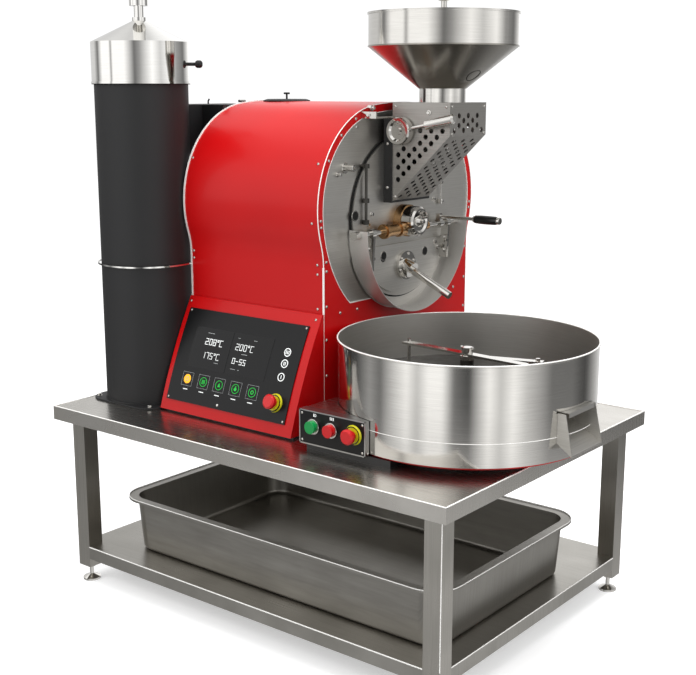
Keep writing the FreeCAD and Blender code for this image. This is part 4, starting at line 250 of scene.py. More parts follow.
def paint(name, code, roughness, coat, peel_mm, depth_mm, shine=0.5):
    """Stoved paint: an even colour under a clear skin with faint orange peel."""
    material, tree, shader = finish(name, Roughness=roughness, Coat_Weight=coat,
                                    Coat_Roughness=0.06, Specular_IOR_Level=shine)
    mottle(tree, shader, code, pattern(tree, (220, 220, 220), 1.0), 0.86)
    relief(tree, shader, pattern(tree, (peel_mm,) * 3, 1.0), depth_mm)
    return material


# Gloss red powder coat: saturated red, soft reflections under a clear skin.
red_coat = paint("gloss red powder coat", "#b60508", 0.36, 0.1, 5.0, 0.01, 0.28)
# Satin black paint of the base and motor: a dark grey where the light grazes it.
black_coat = paint("satin black paint", "#1a1a1b", 0.42, 0.2, 3.0, 0.01)
# Textured black coat on the cyclone: fine grit, almost no shine.
grit_coat = paint("textured black powder coat", "#1a1a1b", 0.55, 0.0, 1.6, 0.08)


def moulded(name, code, roughness, coat=0.0):
    """Moulded plastic or rubber: an even colour with a faint grain."""
    material, tree, shader = finish(name, Roughness=roughness, Coat_Weight=coat,
                                    Coat_Roughness=0.05, Specular_IOR_Level=0.3)
    mottle(tree, shader, code, pattern(tree, (1.5, 1.5, 1.5), 2.0), 0.8)
    relief(tree, shader, pattern(tree, (0.8, 0.8, 0.8), 2.0), 0.004)
    return material


# Hard smooth plastic of the console's face: near black, with blurred reflections.
panel_plastic = moulded("black acrylic", "#0e0e0f", 0.32)
# Phenolic grips: black with a soft shine.
grip_plastic = moulded("black phenolic", "#141414", 0.28, 0.3)
# Gasket rubber: matte, near black.
rubber = moulded("black silicone rubber", "#171716", 0.7)
# Moulded button caps and rings: clear bright colours with a sharp highlight.
red_cap = moulded("red button plastic", "#c4161a", 0.28, 0.4)
green_cap = moulded("green button plastic", "#0f8f46", 0.28, 0.4)
yellow_ring = moulded("yellow button plastic", "#d6cf1e", 0.35, 0.2)
# Glass of the screen: almost black, a little clearer than the panel round it.
screen_glass = moulded("dark screen glass", "#060607", 0.14)


def mark(name, code, glow):
    """Printed or lit mark: an even colour that shines a little by itself; on the screen and the
    lamp that is their own light, on printed marks a painted glow.
    """
    material, tree, shader = finish(name, Roughness=0.5)
    grain = pattern(tree, (0.6, 0.6, 0.6), 1.0)
    tone = ramp(tree, grain, [(0.0, code), (1.0, code)])
    tree.links.new(tone, shader.inputs["Base Color"])
    tree.links.new(tone, shader.inputs["Emission Color"])
    shader.inputs["Emission Strength"].default_value = glow
    return material


# The screen's figures, the keys' symbols and lamp, and the dimmer print round them. The white and
# grey print on the panel and the box glows too: a painted glow.
white_mark = mark("white mark lit on screen, painted glow on print", "#dfe2e1", 0.3)
green_mark = mark("green lit mark", "#17a838", 0.3)
amber_mark = mark("amber lit mark", "#f2a619", 0.6)
dim_mark = mark("grey mark lit on screen, painted glow on print", "#8d9090", 0.1)


def dress(material, *names):
    for name in names:
        for slot in node[name].material_slots:
            slot.material = material


dress(table_sheet, "table_top", "blower_housing")
dress(shelf_sheet, "lower_shelf")
dress(leg_tube, "table_legs")
dress(pan_sheet, "bean_pan")
dress(red_coat, "body_shell", "rear_panel", "front_frame", "console_housing", "bin_ring")
dress(black_coat, "machine_base", "feed_spacer", "drive_motor")
dress(grit_coat, "cyclone_tube", "exhaust_duct")
dress(ground_plate, "front_plate", "drum_cover", "discharge_door")
dress(box_sheet, "feed_box")
dress(band_sheet, "trough")
dress(bin_sheet, "bin_wall")
dress(chute_sheet, "bin_chute", "chute_gate")
dress(hopper_sheet, "hopper")
dress(rolled_sheet, "bin_base", "hopper_lid", "hopper_neck")
dress(cap_sheet, "cyclone_cap", "exhaust_stack", "cyclone_hoop")
dress(turned_steel, "levelling_feet", "drum_shaft", "burner",
      "bearing_housing", "discharge_shafts", "discharge_lever", "sampler_flange", "sampler",
      "feed_gate", "feed_lever", "feed_grip", "feed_stay", "agitator", "damper_handle")
dress(dark_steel, "cover_clamps", "drum", "bin_floor", "agitator_drive")
dress(aluminium, "control_box")
dress(bronze, "front_bearing")
dress(rubber, "cover_gasket")
dress(panel_plastic, "console_panel", "control_face")
dress(grip_plastic, "lever_grip", "cap_knob")
dress(red_cap, "console_stop", "box_stop", "halt_button")
dress(green_cap, "start_button")
dress(yellow_ring, "stop_rings")


# Studio: a white floor and backdrop that the camera sees, and a room of white panels and black
# flags that the steel reflects. Each band of the room goes once round the machine, in pairs of
# compass angle in degrees and tone.

DARK, DIM, GREY, PALE, WHITE = "#3c3c3c", "#6c6c6c", "#949494", "#c8c8c8", "#fbfbfb"
BELOW = "#4e4d4c"
LOW_WALL = ((-170, DARK), (-150, GREY), (-137, DIM), (-123, PALE), (-110, WHITE), (-100, PALE),
            (-90, WHITE), (-78, WHITE), (-68, DIM), (-55, DARK), (-38, WHITE), (-28, PALE),
            (-17, WHITE), (-5, PALE), (20, DIM), (45, DIM), (65, DARK), (100, PALE),
            (130, PALE), (165, DARK))
HIGH_WALL = ((-175, PALE), (-158, DIM), (-142, WHITE), (-119, WHITE), (-114, GREY), (-109, WHITE),
             (-80, WHITE), (-68, PALE), (-56, DIM), (-44, GREY), (-32, PALE), (-15, WHITE),
             (5, PALE), (30, WHITE), (50, GREY), (75, DIM), (110, WHITE), (126, WHITE),
             (140, PALE), (175, PALE))
CEILING = ((-40, WHITE), (50, PALE), (76, GREY), (98, PALE), (109, GREY), (120, WHITE),
           (132, PALE), (146, PALE), (165, WHITE))
GROUND = ((-175, GREY), (-146, DIM), (-130, PALE), (-116, DIM), (-100, GREY), (-60, PALE),
          (60, PALE), (90, GREY), (175, GREY))


def room_band(tree, turn, tones):
    return ramp(tree, turn, [((angle + 180) / 360, tone) for angle, tone in tones])


def blend(tree, factor, low, high):
    made = add(tree, "ShaderNodeMix", {"data_type": "RGBA"}, Factor=factor)
    tree.links.new(low, made.inputs[6])
    tree.links.new(high, made.inputs[7])
    return made.outputs[2]


def make_studio():
    world = bpy.data.worlds.new("studio")
    bpy.context.scene.world = world
    world.use_nodes = True
    tree = world.node_tree
    tree.nodes.clear()
    way = add(tree, "ShaderNodeTexCoord").outputs["Generated"]
    parts = add(tree, "ShaderNodeSeparateXYZ", Vector=way)
    rise = parts.outputs["Z"]
    angle = add(tree, "ShaderNodeMath", {"operation": "ARCTAN2"}, _0=parts.outputs["Y"],
                _1=parts.outputs["X"])
    turn = add(tree, "ShaderNodeMapRange", _0=angle.outputs[0], _1=-math.pi,
               _2=math.pi).outputs[0]

    def step(start, end):
        """Goes from 0 to 1 between two heights of the reflected ray."""
        return add(tree, "ShaderNodeMapRange", _0=rise, _1=start, _2=end).outputs[0]

    low, high, ceiling, ground = (room_band(tree, turn, tones) for tones in
                                  (LOW_WALL, HIGH_WALL, CEILING, GROUND))
    room = blend(tree, step(-0.07, 0.01), low, high)
    room = blend(tree, step(0.45, 0.75), room, ceiling)
    room = blend(tree, step(-0.38, -0.27), ground, room)
    below = ramp(tree, rise, [(0.0, BELOW), (1.0, BELOW)])
    room = blend(tree, step(-0.85, -0.6), below, room)
    studio = add(tree, "ShaderNodeBackground", Color=room, Strength=1.28)
    backdrop = add(tree, "ShaderNodeBackground", Color=srgb("#ffffff"), Strength=1.05)
    seen = add(tree, "ShaderNodeLightPath").outputs["Is Camera Ray"]
    both = add(tree, "ShaderNodeMixShader", Fac=seen)
    tree.links.new(studio.outputs[0], both.inputs[1])
    tree.links.new(backdrop.outputs[0], both.inputs[2])
    out = add(tree, "ShaderNodeOutputWorld")
    tree.links.new(both.outputs[0], out.inputs["Surface"])


def soft_light(name, place, target, size, power):
    """A rectangular lamp that lights the machine but isn't mirrored in its steel."""
    lamp = bpy.data.lights.new(name, "AREA")
    lamp.shape, lamp.size, lamp.size_y = "RECTANGLE", size[0], size[1]
    lamp.energy = power
    holder = bpy.data.objects.new(name, lamp)
    holder.location = place
    toward = Vector(target) - Vector(place)
    holder.rotation_euler = toward.to_track_quat("-Z", "Y").to_euler()
    holder.visible_glossy = False
    bpy.context.scene.collection.objects.link(holder)


def make_floor(half_width):
    sheet = bpy.data.meshes.new("studio_floor")
    corners = [(-half_width, -half_width, 0), (half_width, -half_width, 0),
               (half_width, half_width, 0), (-half_width, half_width, 0)]
    sheet.from_pydata(corners, [], [(0, 1, 2, 3)])
    floor = bpy.data.objects.new("studio_floor", sheet)
    floor.visible_glossy = False
    material, tree, shader = finish("white studio floor", Roughness=0.9, Specular_IOR_Level=0.0)
    shader.inputs["Base Color"].default_value = srgb("#e4e4e4")
    shader.inputs["Emission Color"].default_value = srgb("#ffffff")
    seen = add(tree, "ShaderNodeLightPath").outputs["Is Camera Ray"]
    glow = add(tree, "ShaderNodeMath", {"operation": "MULTIPLY"}, _0=seen, _1=0.42)
    tree.links.new(glow.outputs[0], shader.inputs["Emission Strength"])
    sheet.materials.append(material)
    bpy.context.scene.collection.objects.link(floor)


make_studio()
make_floor(14.0)
soft_light("key", (-1.2, -3.6, 3.4), (0, 0, 0.9), (2.2, 1.6), 55)
soft_light("top", (0.6, 0.4, 4.2), (0, 0, 0.8), (3.0, 2.4), 150)
soft_light("side", (3.6, -0.6, 2.2), (0.2, 0, 0.8), (1.2, 2.4), 25)


# Forms that the added pieces are made of

class Solid:
    """Closed forms gathered into one mesh."""

    def __init__(self):
        self.points = []
        self.faces = []

    def skin(self, rings, hoop=False):
        """Joins loops of equally many points. A loop of one point is a tip."""
        at = []
        for ring in rings:
            at.append(range(len(self.points), len(self.points) + len(ring)))
            self.points.extend(Vector(p) for p in ring)
        for low, high in list(zip(at, at[1:])) + ([(at[-1], at[0])] if hoop else []):
            count = max(len(low), len(high))
            for i in range(count):
                j = (i + 1) % count
                face = [low[i % len(low)], low[j % len(low)], high[j % len(high)],
                        high[i % len(high)]]
                self.faces.append(list(dict.fromkeys(face)))
        if not hoop:
            self.faces.extend(list(end) for end in (at[0], at[-1]) if len(end) > 2)

    def turned(self, at, axis, outline, sides=28, hoop=False):
        """Turns (radius, distance) pairs about an axis through a place."""
        at, axis = Vector(at), Vector(axis).normalized()
        side = axis.orthogonal().normalized()
        up = axis.cross(side)
        rings = []
        for radius, along in outline:
            centre = at + axis * along
            turns = [2 * math.pi * i / sides for i in range(sides)] if radius > 0 else [0]
            rings.append([centre + (side * math.cos(a) + up * math.sin(a)) * radius
                          for a in turns])
        self.skin(rings, hoop)

    def disc(self, at, axis, radius, thick, sunk=0):
        self.turned(at, axis, [(0, -sunk), (radius, -sunk), (radius, thick), (0, thick)])

    def band(self, at, axis, bore, radius, thick, sides=28):
        """A flat ring with sharp edges."""
        self.turned(at, axis, [(bore, 0), (radius, 0), (radius, thick), (bore, thick)], sides,
                    hoop=True)

    def collar(self, at, axis, bore, radius, height, sides=32):
        """A ring with a square section and a small chamfer."""
        edge = min(height, radius - bore) * 0.2
        self.turned(at, axis, [(bore, 0), (radius, 0), (radius, height - edge),
                               (radius - edge, height), (bore, height)], sides, hoop=True)

    def rod(self, start, end, radius, sides=20):
        """A round bar with chamfered ends."""
        start, end = Vector(start), Vector(end)
        edge = min(radius * 0.25, 1.0)
        length = (end - start).length
        self.turned(start, end - start, [(0, 0), (radius - edge, 0), (radius, edge),
                                         (radius, length - edge), (radius - edge, length),
                                         (0, length)], sides)

    def prism(self, corners, offset):
        corners = [Vector(c) for c in corners]
        self.skin([corners, [c + Vector(offset) for c in corners]])

    def block(self, low, high):
        a, b = Vector(low), Vector(high)
        self.prism([(a.x, a.y, a.z), (b.x, a.y, a.z), (b.x, b.y, a.z), (a.x, b.y, a.z)],
                   (0, 0, b.z - a.z))

    def ring_rod(self, path, radius, up=Z, sides=8):
        """A round bar along a closed path that lies about square to up."""
        rings = []
        for i, point in enumerate(path):
            run = (path[(i + 1) % len(path)] - path[i - 1]).normalized()
            side = up.cross(run).normalized()
            top = run.cross(side)
            rings.append([point + (side * math.cos(a) + top * math.sin(a)) * radius
                          for a in (2 * math.pi * k / sides for k in range(sides))])
        self.skin(rings, hoop=True)

    def follow(self, path, widths, outs):
        """A flat strip along a closed path: in-plane offsets and places along X."""
        count = len(path)
        rings = []
        for i, point in enumerate(path):
            run = path[(i + 1) % count] - path[i - 1]
            inward = X.cross(run).normalized()
            rings.append([point + inward * w + X * o
                          for w, o in zip((widths[0], widths[1], widths[1], widths[0]),
                                          (outs[0], outs[0], outs[1], outs[1]))])
        self.skin(rings, hoop=True)


def rounded_loop(low, high, radius, z, steps=10):
    """A level rectangle with round corners."""
    corners = [(high[0] - radius, high[1] - radius, 0), (low[0] + radius, high[1] - radius, 90),
               (low[0] + radius, low[1] + radius, 180), (high[0] - radius, low[1] + radius, 270)]
    return [Vector((x + radius * math.cos(a), y + radius * math.sin(a), z))
            for x, y, start in corners
            for a in (math.radians(start + 90 * i / steps) for i in range(steps + 1))]


def solid_mesh(name, solid, smooth_deg):
    """The solid's mesh, with its faces outward and its edges sharp past an angle."""
    mesh = bpy.data.meshes.new(name)
    mesh.from_pydata([p * MM for p in solid.points], [], solid.faces)
    work = bmesh.new()
    work.from_mesh(mesh)
    bmesh.ops.recalc_face_normals(work, faces=work.faces)
    work.to_mesh(mesh)
    work.free()
    mesh.shade_smooth()
    mesh.set_sharp_from_angle(angle=math.radians(smooth_deg))
    return mesh


# Each finish of the added pieces, with the slot that stands for it. Lit and printed marks have
# no slot.
POLISHED = "polished_steel", turned_steel
# The near-white strips along sheet edges: a painted highlight.
PAINTED_HIGHLIGHT = "polished_steel", painted_highlight_edge
SEAL = "gasket_rubber", rubber
BLACK_GRIP = "grip_black", grip_plastic
MATTE_BLACK = "matte_black_paint", grit_coat


def piece(name, body, coat, solid):
    """Puts a solid on a body, with its finish."""
    slot, material = coat
    mesh = solid_mesh(name, solid, 35)
    mesh.materials.append(material)
    made = bpy.data.objects.new(name, mesh)
    bpy.context.scene.collection.objects.link(made)
    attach(made, body)


# Fasteners, set out by Geometry Nodes: one head on each marked point

def fastener_tree():
    tree = bpy.data.node_groups.new("fasteners", "GeometryNodeTree")
    face = tree.interface
    face.new_socket("Geometry", in_out="INPUT", socket_type="NodeSocketGeometry")
    keys = {name: face.new_socket(name, in_out="INPUT", socket_type=kind).identifier
            for name, kind in (("Head", "NodeSocketObject"), ("Width", "NodeSocketFloat"),
                               ("Turn seed", "NodeSocketInt"),
                               ("Finish", "NodeSocketMaterial"))}
    face.new_socket("Geometry", in_out="OUTPUT", socket_type="NodeSocketGeometry")
    given = tree.nodes.new("NodeGroupInput")
    link = tree.links.new
    head = tree.nodes.new("GeometryNodeObjectInfo")
    link(given.outputs["Head"], head.inputs["Object"])
    way = tree.nodes.new("GeometryNodeInputNamedAttribute")
    way.data_type = "FLOAT_VECTOR"
    way.inputs["Name"].default_value = "way"
    spin = tree.nodes.new("FunctionNodeRandomValue")
    spin.inputs[3].default_value = 6.283
    link(given.outputs["Turn seed"], spin.inputs["Seed"])
    around = tree.nodes.new("FunctionNodeAxisAngleToRotation")
    around.inputs["Axis"].default_value = (0, 0, 1)
    link(spin.outputs[1], around.inputs["Angle"])
    align = tree.nodes.new("FunctionNodeAlignRotationToVector")
    align.axis = "Z"
    link(around.outputs[0], align.inputs["Rotation"])
    link(way.outputs[0], align.inputs["Vector"])
    spread = tree.nodes.new("GeometryNodeInstanceOnPoints")
    link(given.outputs["Geometry"], spread.inputs["Points"])
    link(head.outputs["Geometry"], spread.inputs["Instance"])
    link(align.outputs[0], spread.inputs["Rotation"])
    link(given.outputs["Width"], spread.inputs["Scale"])
    real = tree.nodes.new("GeometryNodeRealizeInstances")
    link(spread.outputs[0], real.inputs[0])
    coat = tree.nodes.new("GeometryNodeSetMaterial")
    link(real.outputs[0], coat.inputs["Geometry"])
    link(given.outputs["Finish"], coat.inputs["Material"])
    out = tree.nodes.new("NodeGroupOutput")
    link(coat.outputs[0], out.inputs[0])
    return tree, keys


FASTENERS, KEYS = fastener_tree()


def head_form(name, outline, sides):
    """A head one millimetre across, with its seat at the origin and its face along Z."""
    solid = Solid()
    solid.turned((0, 0, 0), Z, outline, sides)
    return bpy.data.objects.new(name, solid_mesh(name, solid, 40))


# Round head with a sunk drive: the rim turns in to a small pit, which shows as a dark dot.
PAN_HEAD = head_form("pan_head", [(0, -0.1), (0.5, -0.1), (0.5, 0.12), (0.44, 0.24), (0.3, 0.33),
                                  (0.17, 0.35), (0.13, 0.18), (0, 0.18)], 18)
# Hexagon bolt on a washer.
HEX_HEAD = head_form("hex_head", [(0, 0.1), (0.46, 0.1), (0.5, 0.14), (0.5, 0.46), (0.42, 0.54),
                                  (0, 0.54)], 6)
# Washer under it.
WASHER = head_form("washer", [(0, -0.1), (0.64, -0.1), (0.64, 0.1), (0.6, 0.12), (0, 0.12)], 20)


def fasten(name, body, head, width_mm, places, seed=1):
    """Puts one polished head on each (place, way) in one mesh."""
    slot, material = POLISHED
    mesh = bpy.data.meshes.new(name + "_points")
    mesh.from_pydata([Vector(place) * MM for place, _ in places], [], [])
    ways = mesh.attributes.new("way", "FLOAT_VECTOR", "POINT")
    for item, (_, way) in zip(ways.data, places):
        item.vector = Vector(way).normalized()
    holder = bpy.data.objects.new(name + "_points", mesh)
    bpy.context.scene.collection.objects.link(holder)
    spread = holder.modifiers.new("fasteners", "NODES")
    spread.node_group = FASTENERS
    spread[KEYS["Head"]] = head
    spread[KEYS["Width"]] = float(width_mm)
    spread[KEYS["Turn seed"]] = seed
    spread[KEYS["Finish"]] = material
    bpy.context.view_layer.update()
    made = bpy.data.meshes.new_from_object(
        holder.evaluated_get(bpy.context.evaluated_depsgraph_get()))
    holder.modifiers.remove(spread)
    bpy.data.objects.remove(holder)
    made.name = name
    plain = bpy.data.objects.new(name, made)
    bpy.context.scene.collection.objects.link(plain)
    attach(plain, body)


def bolts(name, body, places, width_mm, seed=1):
    fasten(name + "_washers", body, WASHER, width_mm, places)
    fasten(name, body, HEX_HEAD, width_mm, places, seed)


# Sheet edges round the housing's ends, drawn as pale strips: a painted highlight

def end_loops(name, x_mm):
    """The closed edge loops of a node's flat end at a place along X, the longest first."""
    work = bmesh.new()
    work.from_mesh(node[name].data)
    bmesh.ops.remove_doubles(work, verts=work.verts, dist=1e-5)
    limit = 2e-4
    flat = {f for f in work.faces if all(abs(v.co.x - x_mm * MM) < limit for v in f.verts)}
    rim = [e for e in work.edges if sum(f in flat for f in e.link_faces) == 1]
    near = {}
    for edge in rim:
        for vert in edge.verts:
            near.setdefault(vert, []).append(edge.other_vert(vert))
    loops = []
    while near:
        start = next(iter(near))
        loop, here, back = [start], near[start][0], start
        while here != start:
            loop.append(here)
            ahead = [v for v in near[here] if v != back]
            back, here = here, ahead[0]
        for vert in loop:
            near.pop(vert, None)
        loops.append([v.co.copy() / MM for v in loop])
    work.free()
    for loop in loops:
        area = sum(a.y * b.z - b.y * a.z for a, b in zip(loop, loop[1:] + loop[:1]))
        if area < 0:
            loop.reverse()
    return sorted(loops, key=lambda l: -sum((a - b).length for a, b in zip(l, l[1:] + l[:1])))


def thin(loop, least=1.5):
    """Drops points that lie nearer than the least step, for an even strip."""
    kept = [loop[0]]
    for point in loop[1:]:
        if (point - kept[-1]).length > least:
            kept.append(point)
    return kept


outer_rim, inner_rim = (thin(loop) for loop in end_loops("front_frame", FRAME_FACE)[:2])
rear_rim = thin(end_loops("rear_panel", REAR_FACE)[0])
EDGE_MARGIN = 0.4


def sheet_edges():
    """Thin strips on the frame's two edges and the rear panel's, kept inside the table's depth;
    their pale colour is a painted highlight.
    """
    trim = Solid()
    for rim, across, along in ((outer_rim, (-0.7, 0.9), (-1.5, 0.8)),
                               (inner_rim, (-1.2, 0.6), (-3.0, 0.8)),
                               (rear_rim, (-3.0, 1.2), (-0.2, 4.4))):
        trim.follow(rim, across, along)
    for point in trim.points:
        point.y = min(point.y, TABLE_HALF_DEPTH - EDGE_MARGIN)
    piece("sheet_edges", "roaster", PAINTED_HIGHLIGHT, trim)


def crossing(rim, height, side):
    """Where a closed edge passes a height on one side of the middle, and its way there."""
    best = None
    for a, b in zip(rim, rim[1:] + rim[:1]):
        if (a.z - height) * (b.z - height) <= 0 and a.z != b.z and (a.y - MIDDLE) * side > 0:
            best = a.lerp(b, (height - a.z) / (b.z - a.z)), (b - a).normalized()
    return best


# Screws on the frame's band, on the side sheet and on the front plate
FRAME_INSET, FRAME_WIDTH = 11, 9
FRAME_UPS = (1402, 1358, 1290, 1126, 1107, 1013, 989, 892, 800, 700, 610)
FRAME_ROW_UP, FRAME_ROW = 867, (-136, -60, 350, 424)
SIDE_WIDTH = 8
SIDE_ROWS = ((-461, (1276, 1006, 985, 858)), (13, (1276, 1120, 1006, 980, 885)))
PLATE_MARKS = ((-93, 891), (381, 891), (-190, 1045), (478, 1045), (-60, 1370), (348, 1370))


def housing_screws():
    frame_marks = []
    for side in (-1, 1):
        for up in FRAME_UPS:
            point, run = crossing(outer_rim, up, side)
            point = point + X.cross(run) * FRAME_INSET
            frame_marks.append(((FRAME_FACE, point.y, point.z), X))
    frame_marks += [((FRAME_FACE, y, FRAME_ROW_UP), X) for y in FRAME_ROW]
    fasten("frame_screws", "roaster", PAN_HEAD, FRAME_WIDTH, frame_marks)
    side_marks = []
    for x, ups in SIDE_ROWS:
        for up in ups:
            point, run = crossing(rear_rim, up, -1)
            side_marks.append(((x, point.y, point.z), -X.cross(run)))
    fasten("side_screws", "roaster", PAN_HEAD, SIDE_WIDTH, side_marks)
    plate_marks = [((PLATE_FACE, y, z), X) for y, z in PLATE_MARKS]
    fasten("plate_screws", "roaster", PAN_HEAD, FRAME_WIDTH, plate_marks, 2)


def flank_edge():
    """The bare upright edge of the front plate at the housing's waist, as a pale strip: a painted
    highlight.
    """
    bare = Solid()
    bare.block(low=(31.0, -207.0, 872), high=(35.4, -203.6, 1000))
    piece("flank_edge", "roaster", PAINTED_HIGHLIGHT, bare)


# Fittings round the drum's cover: a latch and its stop, an upright tube on the right, a rod on
# the left, a boss at the top, bolts and a plug
LATCH_Y, LATCH_UP, LATCH_END = -112, 1262, 60
STOP_Y, STOP_UP = -144, 1246
TUBE_X, TUBE_Y = 50, 327
ROD_X, ROD_Y = 52, -67
BOSS_Y, BOSS_UP = -6, 1420
COVER_BOLTS = ((-4, 1128), (-20, 1101), (-60, 1040), (300, 1150))
PLUG_AT = (COVER_FACE, -79, 1130)


def cover_fittings():
    fittings = Solid()
    latch_seat, latch_top = (PLATE_FACE, LATCH_Y, LATCH_UP), (LATCH_END, LATCH_Y, LATCH_UP)
    fittings.collar(latch_seat, X, bore=3, radius=15, height=4)
    fittings.rod(latch_seat, latch_top, radius=9)
    fittings.collar(latch_top, X, bore=4, radius=9, height=5)
    stop_seat = (PLATE_FACE, STOP_Y, STOP_UP)
    fittings.rod(stop_seat, (46, STOP_Y, STOP_UP), radius=4)
    fittings.collar(stop_seat, X, bore=4, radius=7, height=4)
    fittings.rod((COVER_FACE, TUBE_Y, 1142), (58, TUBE_Y, 1142), radius=5)
    fittings.rod((TUBE_X, TUBE_Y, 1136), (TUBE_X, TUBE_Y, 1205), radius=1.8)
    fittings.rod((TUBE_X, TUBE_Y, 1134), (TUBE_X, TUBE_Y, 1148), radius=7)
    fittings.rod((COVER_FACE, TUBE_Y, 1198), (56, TUBE_Y, 1198), radius=5)
    fittings.rod((ROD_X, ROD_Y, 988), (ROD_X, ROD_Y, 1075), radius=1.6)
    fittings.rod((ROD_X, ROD_Y, 984), (ROD_X, ROD_Y, 993), radius=4.5)
    fittings.collar((PLATE_FACE, BOSS_Y, BOSS_UP), X, bore=0.5, radius=8, height=14)
    fittings.rod((38, BOSS_Y, BOSS_UP), (52, BOSS_Y, BOSS_UP), radius=5)
    piece("cover_fittings", "roaster", POLISHED, fittings)
    bolts("cover_bolts", "roaster", [((COVER_FACE, y, z), X) for y, z in COVER_BOLTS], 11)
    plug, rim = Solid(), Solid()
    plug.disc(PLUG_AT, X, radius=12, thick=1.2)
    piece("cover_plug", "roaster", SEAL, plug)
    rim.collar(PLUG_AT, X, bore=12.2, radius=15, height=1.6)
    piece("cover_plug_rim", "roaster", POLISHED, rim)


# Steel sheet that closes the back of the trough, below the cover, and the gasket's lip
TROUGH_UP, TROUGH_RADIUS = 1088, 243.5
BACK_INNER, BACK_SEAT, BACK_THICK = 235, 34.6, 1.2
LIP_SEAT, LIP_BORE, LIP_RADIUS, LIP_THICK = 34.4, 231.2, 236.0, 1.6


def trough_back():
    sheet = Solid()
    rings = []
    for turn in (math.radians(t) for t in range(200, 341, 4)):
        outer, inner = (Vector((BACK_SEAT, MIDDLE + reach * math.cos(turn),
                                centre + reach * math.sin(turn)))
                        for reach, centre in ((TROUGH_RADIUS, TROUGH_UP),
                                              (BACK_INNER, COVER_UP)))
        rings.append([outer, inner, inner + X * BACK_THICK, outer + X * BACK_THICK])
    sheet.skin(rings)
    piece("trough_back", "roaster", ("plate_steel", ground_plate), sheet)
    lip = Solid()
    lip.collar((LIP_SEAT, MIDDLE, COVER_UP), X, LIP_BORE, LIP_RADIUS, LIP_THICK, sides=120)
    piece("gasket_lip", "roaster", SEAL, lip)


# Discharge door: two ports, the arms' bolts, the flange's screws and the lever's grip
DOOR_PORTS = ((41, 1007), (245, 1000))
DOOR_BOLTS = ((-22, 1018), (-8, 1004), (296, 1022), (310, 1006))
ARM_X, ARM_YS, ARM_UPS = 65, (-44, 324), (996, 1036)
FLANGE_X, FLANGE_UP, FLANGE_REACH, FLANGE_COUNT = 60, 970, 34, 6
GRIP_Y = 290
GRIP_OUTLINE = [(0, 0), (9.5, 0), (11.6, 2), (12.6, 20), (12.8, 44), (12.2, 70), (10.5, 76),
                (0, 76)]


def discharge_fittings():
    ports, rims = Solid(), Solid()
    for y, z in DOOR_PORTS:
        ports.disc((DOOR_FACE, y, z), X, radius=11, thick=0.8)
        rims.collar((DOOR_FACE, y, z), X, bore=11.2, radius=13.5, height=1.4)
    piece("door_ports", "discharge", SEAL, ports)
    piece("door_port_rims", "discharge", POLISHED, rims)
    arm_marks = [((ARM_X, y, z), -Y) for y in ARM_YS for z in ARM_UPS]
    bolts("arm_bolts", "discharge", arm_marks, 11)
    bolts("door_bolts", "discharge", [((DOOR_FACE, y, z), X) for y, z in DOOR_BOLTS], 11, 3)
    turns = [math.radians(20 + 360 * i / FLANGE_COUNT) for i in range(FLANGE_COUNT)]
    flange_marks = [((FLANGE_X, MIDDLE + FLANGE_REACH * math.cos(a),
                      FLANGE_UP + FLANGE_REACH * math.sin(a)), X) for a in turns]
    fasten("flange_screws", "discharge", PAN_HEAD, 9, flange_marks, 4)


def lever_grip():
    """A fuller sleeve over the grip, with a steel collar before it and an end cap."""
    sleeve, ends = Solid(), Solid()
    sleeve.turned((196, GRIP_Y, BEARING_UP), X, GRIP_OUTLINE)
    piece("grip_sleeve", "discharge", BLACK_GRIP, sleeve)
    ends.collar((192, GRIP_Y, BEARING_UP), X, bore=5.2, radius=9.5, height=5)
    ends.turned((272, GRIP_Y, BEARING_UP), X, [(0, 0), (10.6, 0), (10.6, 7), (9.4, 9), (0, 9)])
    piece("grip_ends", "discharge", POLISHED, ends)


def shaft_end():
    """The turned button and ring on the nose of the drum's shaft."""
    nose = Solid()
    nose.turned((110, MIDDLE, BEARING_UP), X, [(0, 0), (7, 0), (7, 6), (5.5, 8), (0, 8)])
    nose.collar((110.2, MIDDLE, BEARING_UP), X, bore=8.5, radius=11, height=1.5)
    piece("shaft_end", "drum", POLISHED, nose)


# Feed box: corner screws, spacer screws and the stay's fittings
FEED_FRONT, FEED_SIDE = 259.5, 54
SPACER_X, SPACER_SIDE = 55.5, 51


def feed_screws():
    marks = [((FEED_FRONT, y, z), X) for y in (64, 224) for z in (1425, 1352)]
    marks += [((x, FEED_SIDE, z), -Y) for x, z in ((80, 1424), (248, 1424), (80, 1176))]
    fasten("feed_box_screws", "roaster", PAN_HEAD, 8, marks, 5)
    spacer_marks = [((SPACER_X, SPACER_SIDE, z), -Y) for z in (1322, 1200)]
    fasten("spacer_screws", "roaster", PAN_HEAD, 9, spacer_marks, 6)
    bolts("stay_bolts", "roaster", [((62, -46, 1402), -Y)], 10)
    bolts("feed_box_bolts", "roaster", [((191, FEED_SIDE, 1408), -Y)], 11)


# Hopper: the weld round its neck and the outline of a welded patch on its cone
WELD_UP = 1471.4
CONE_SPREAD = (CONE_TOP - CONE_FOOT) / (CONE_HIGH - CONE_LOW)
SLANT = math.hypot(1, CONE_SPREAD)
PATCH_TURN, PATCH_UP, PATCH_RADIUS, PATCH_REACH = -0.115, 1506, 21, 108
PATCH_LIFT = 0.4


def on_cone(turn, height):
    """A place on the hopper's cone at a compass angle and a height."""
    reach = CONE_FOOT + (height - CONE_LOW) * CONE_SPREAD + PATCH_LIFT
    return Vector((HOPPER_X + reach * math.cos(turn), MIDDLE + reach * math.sin(turn), height))


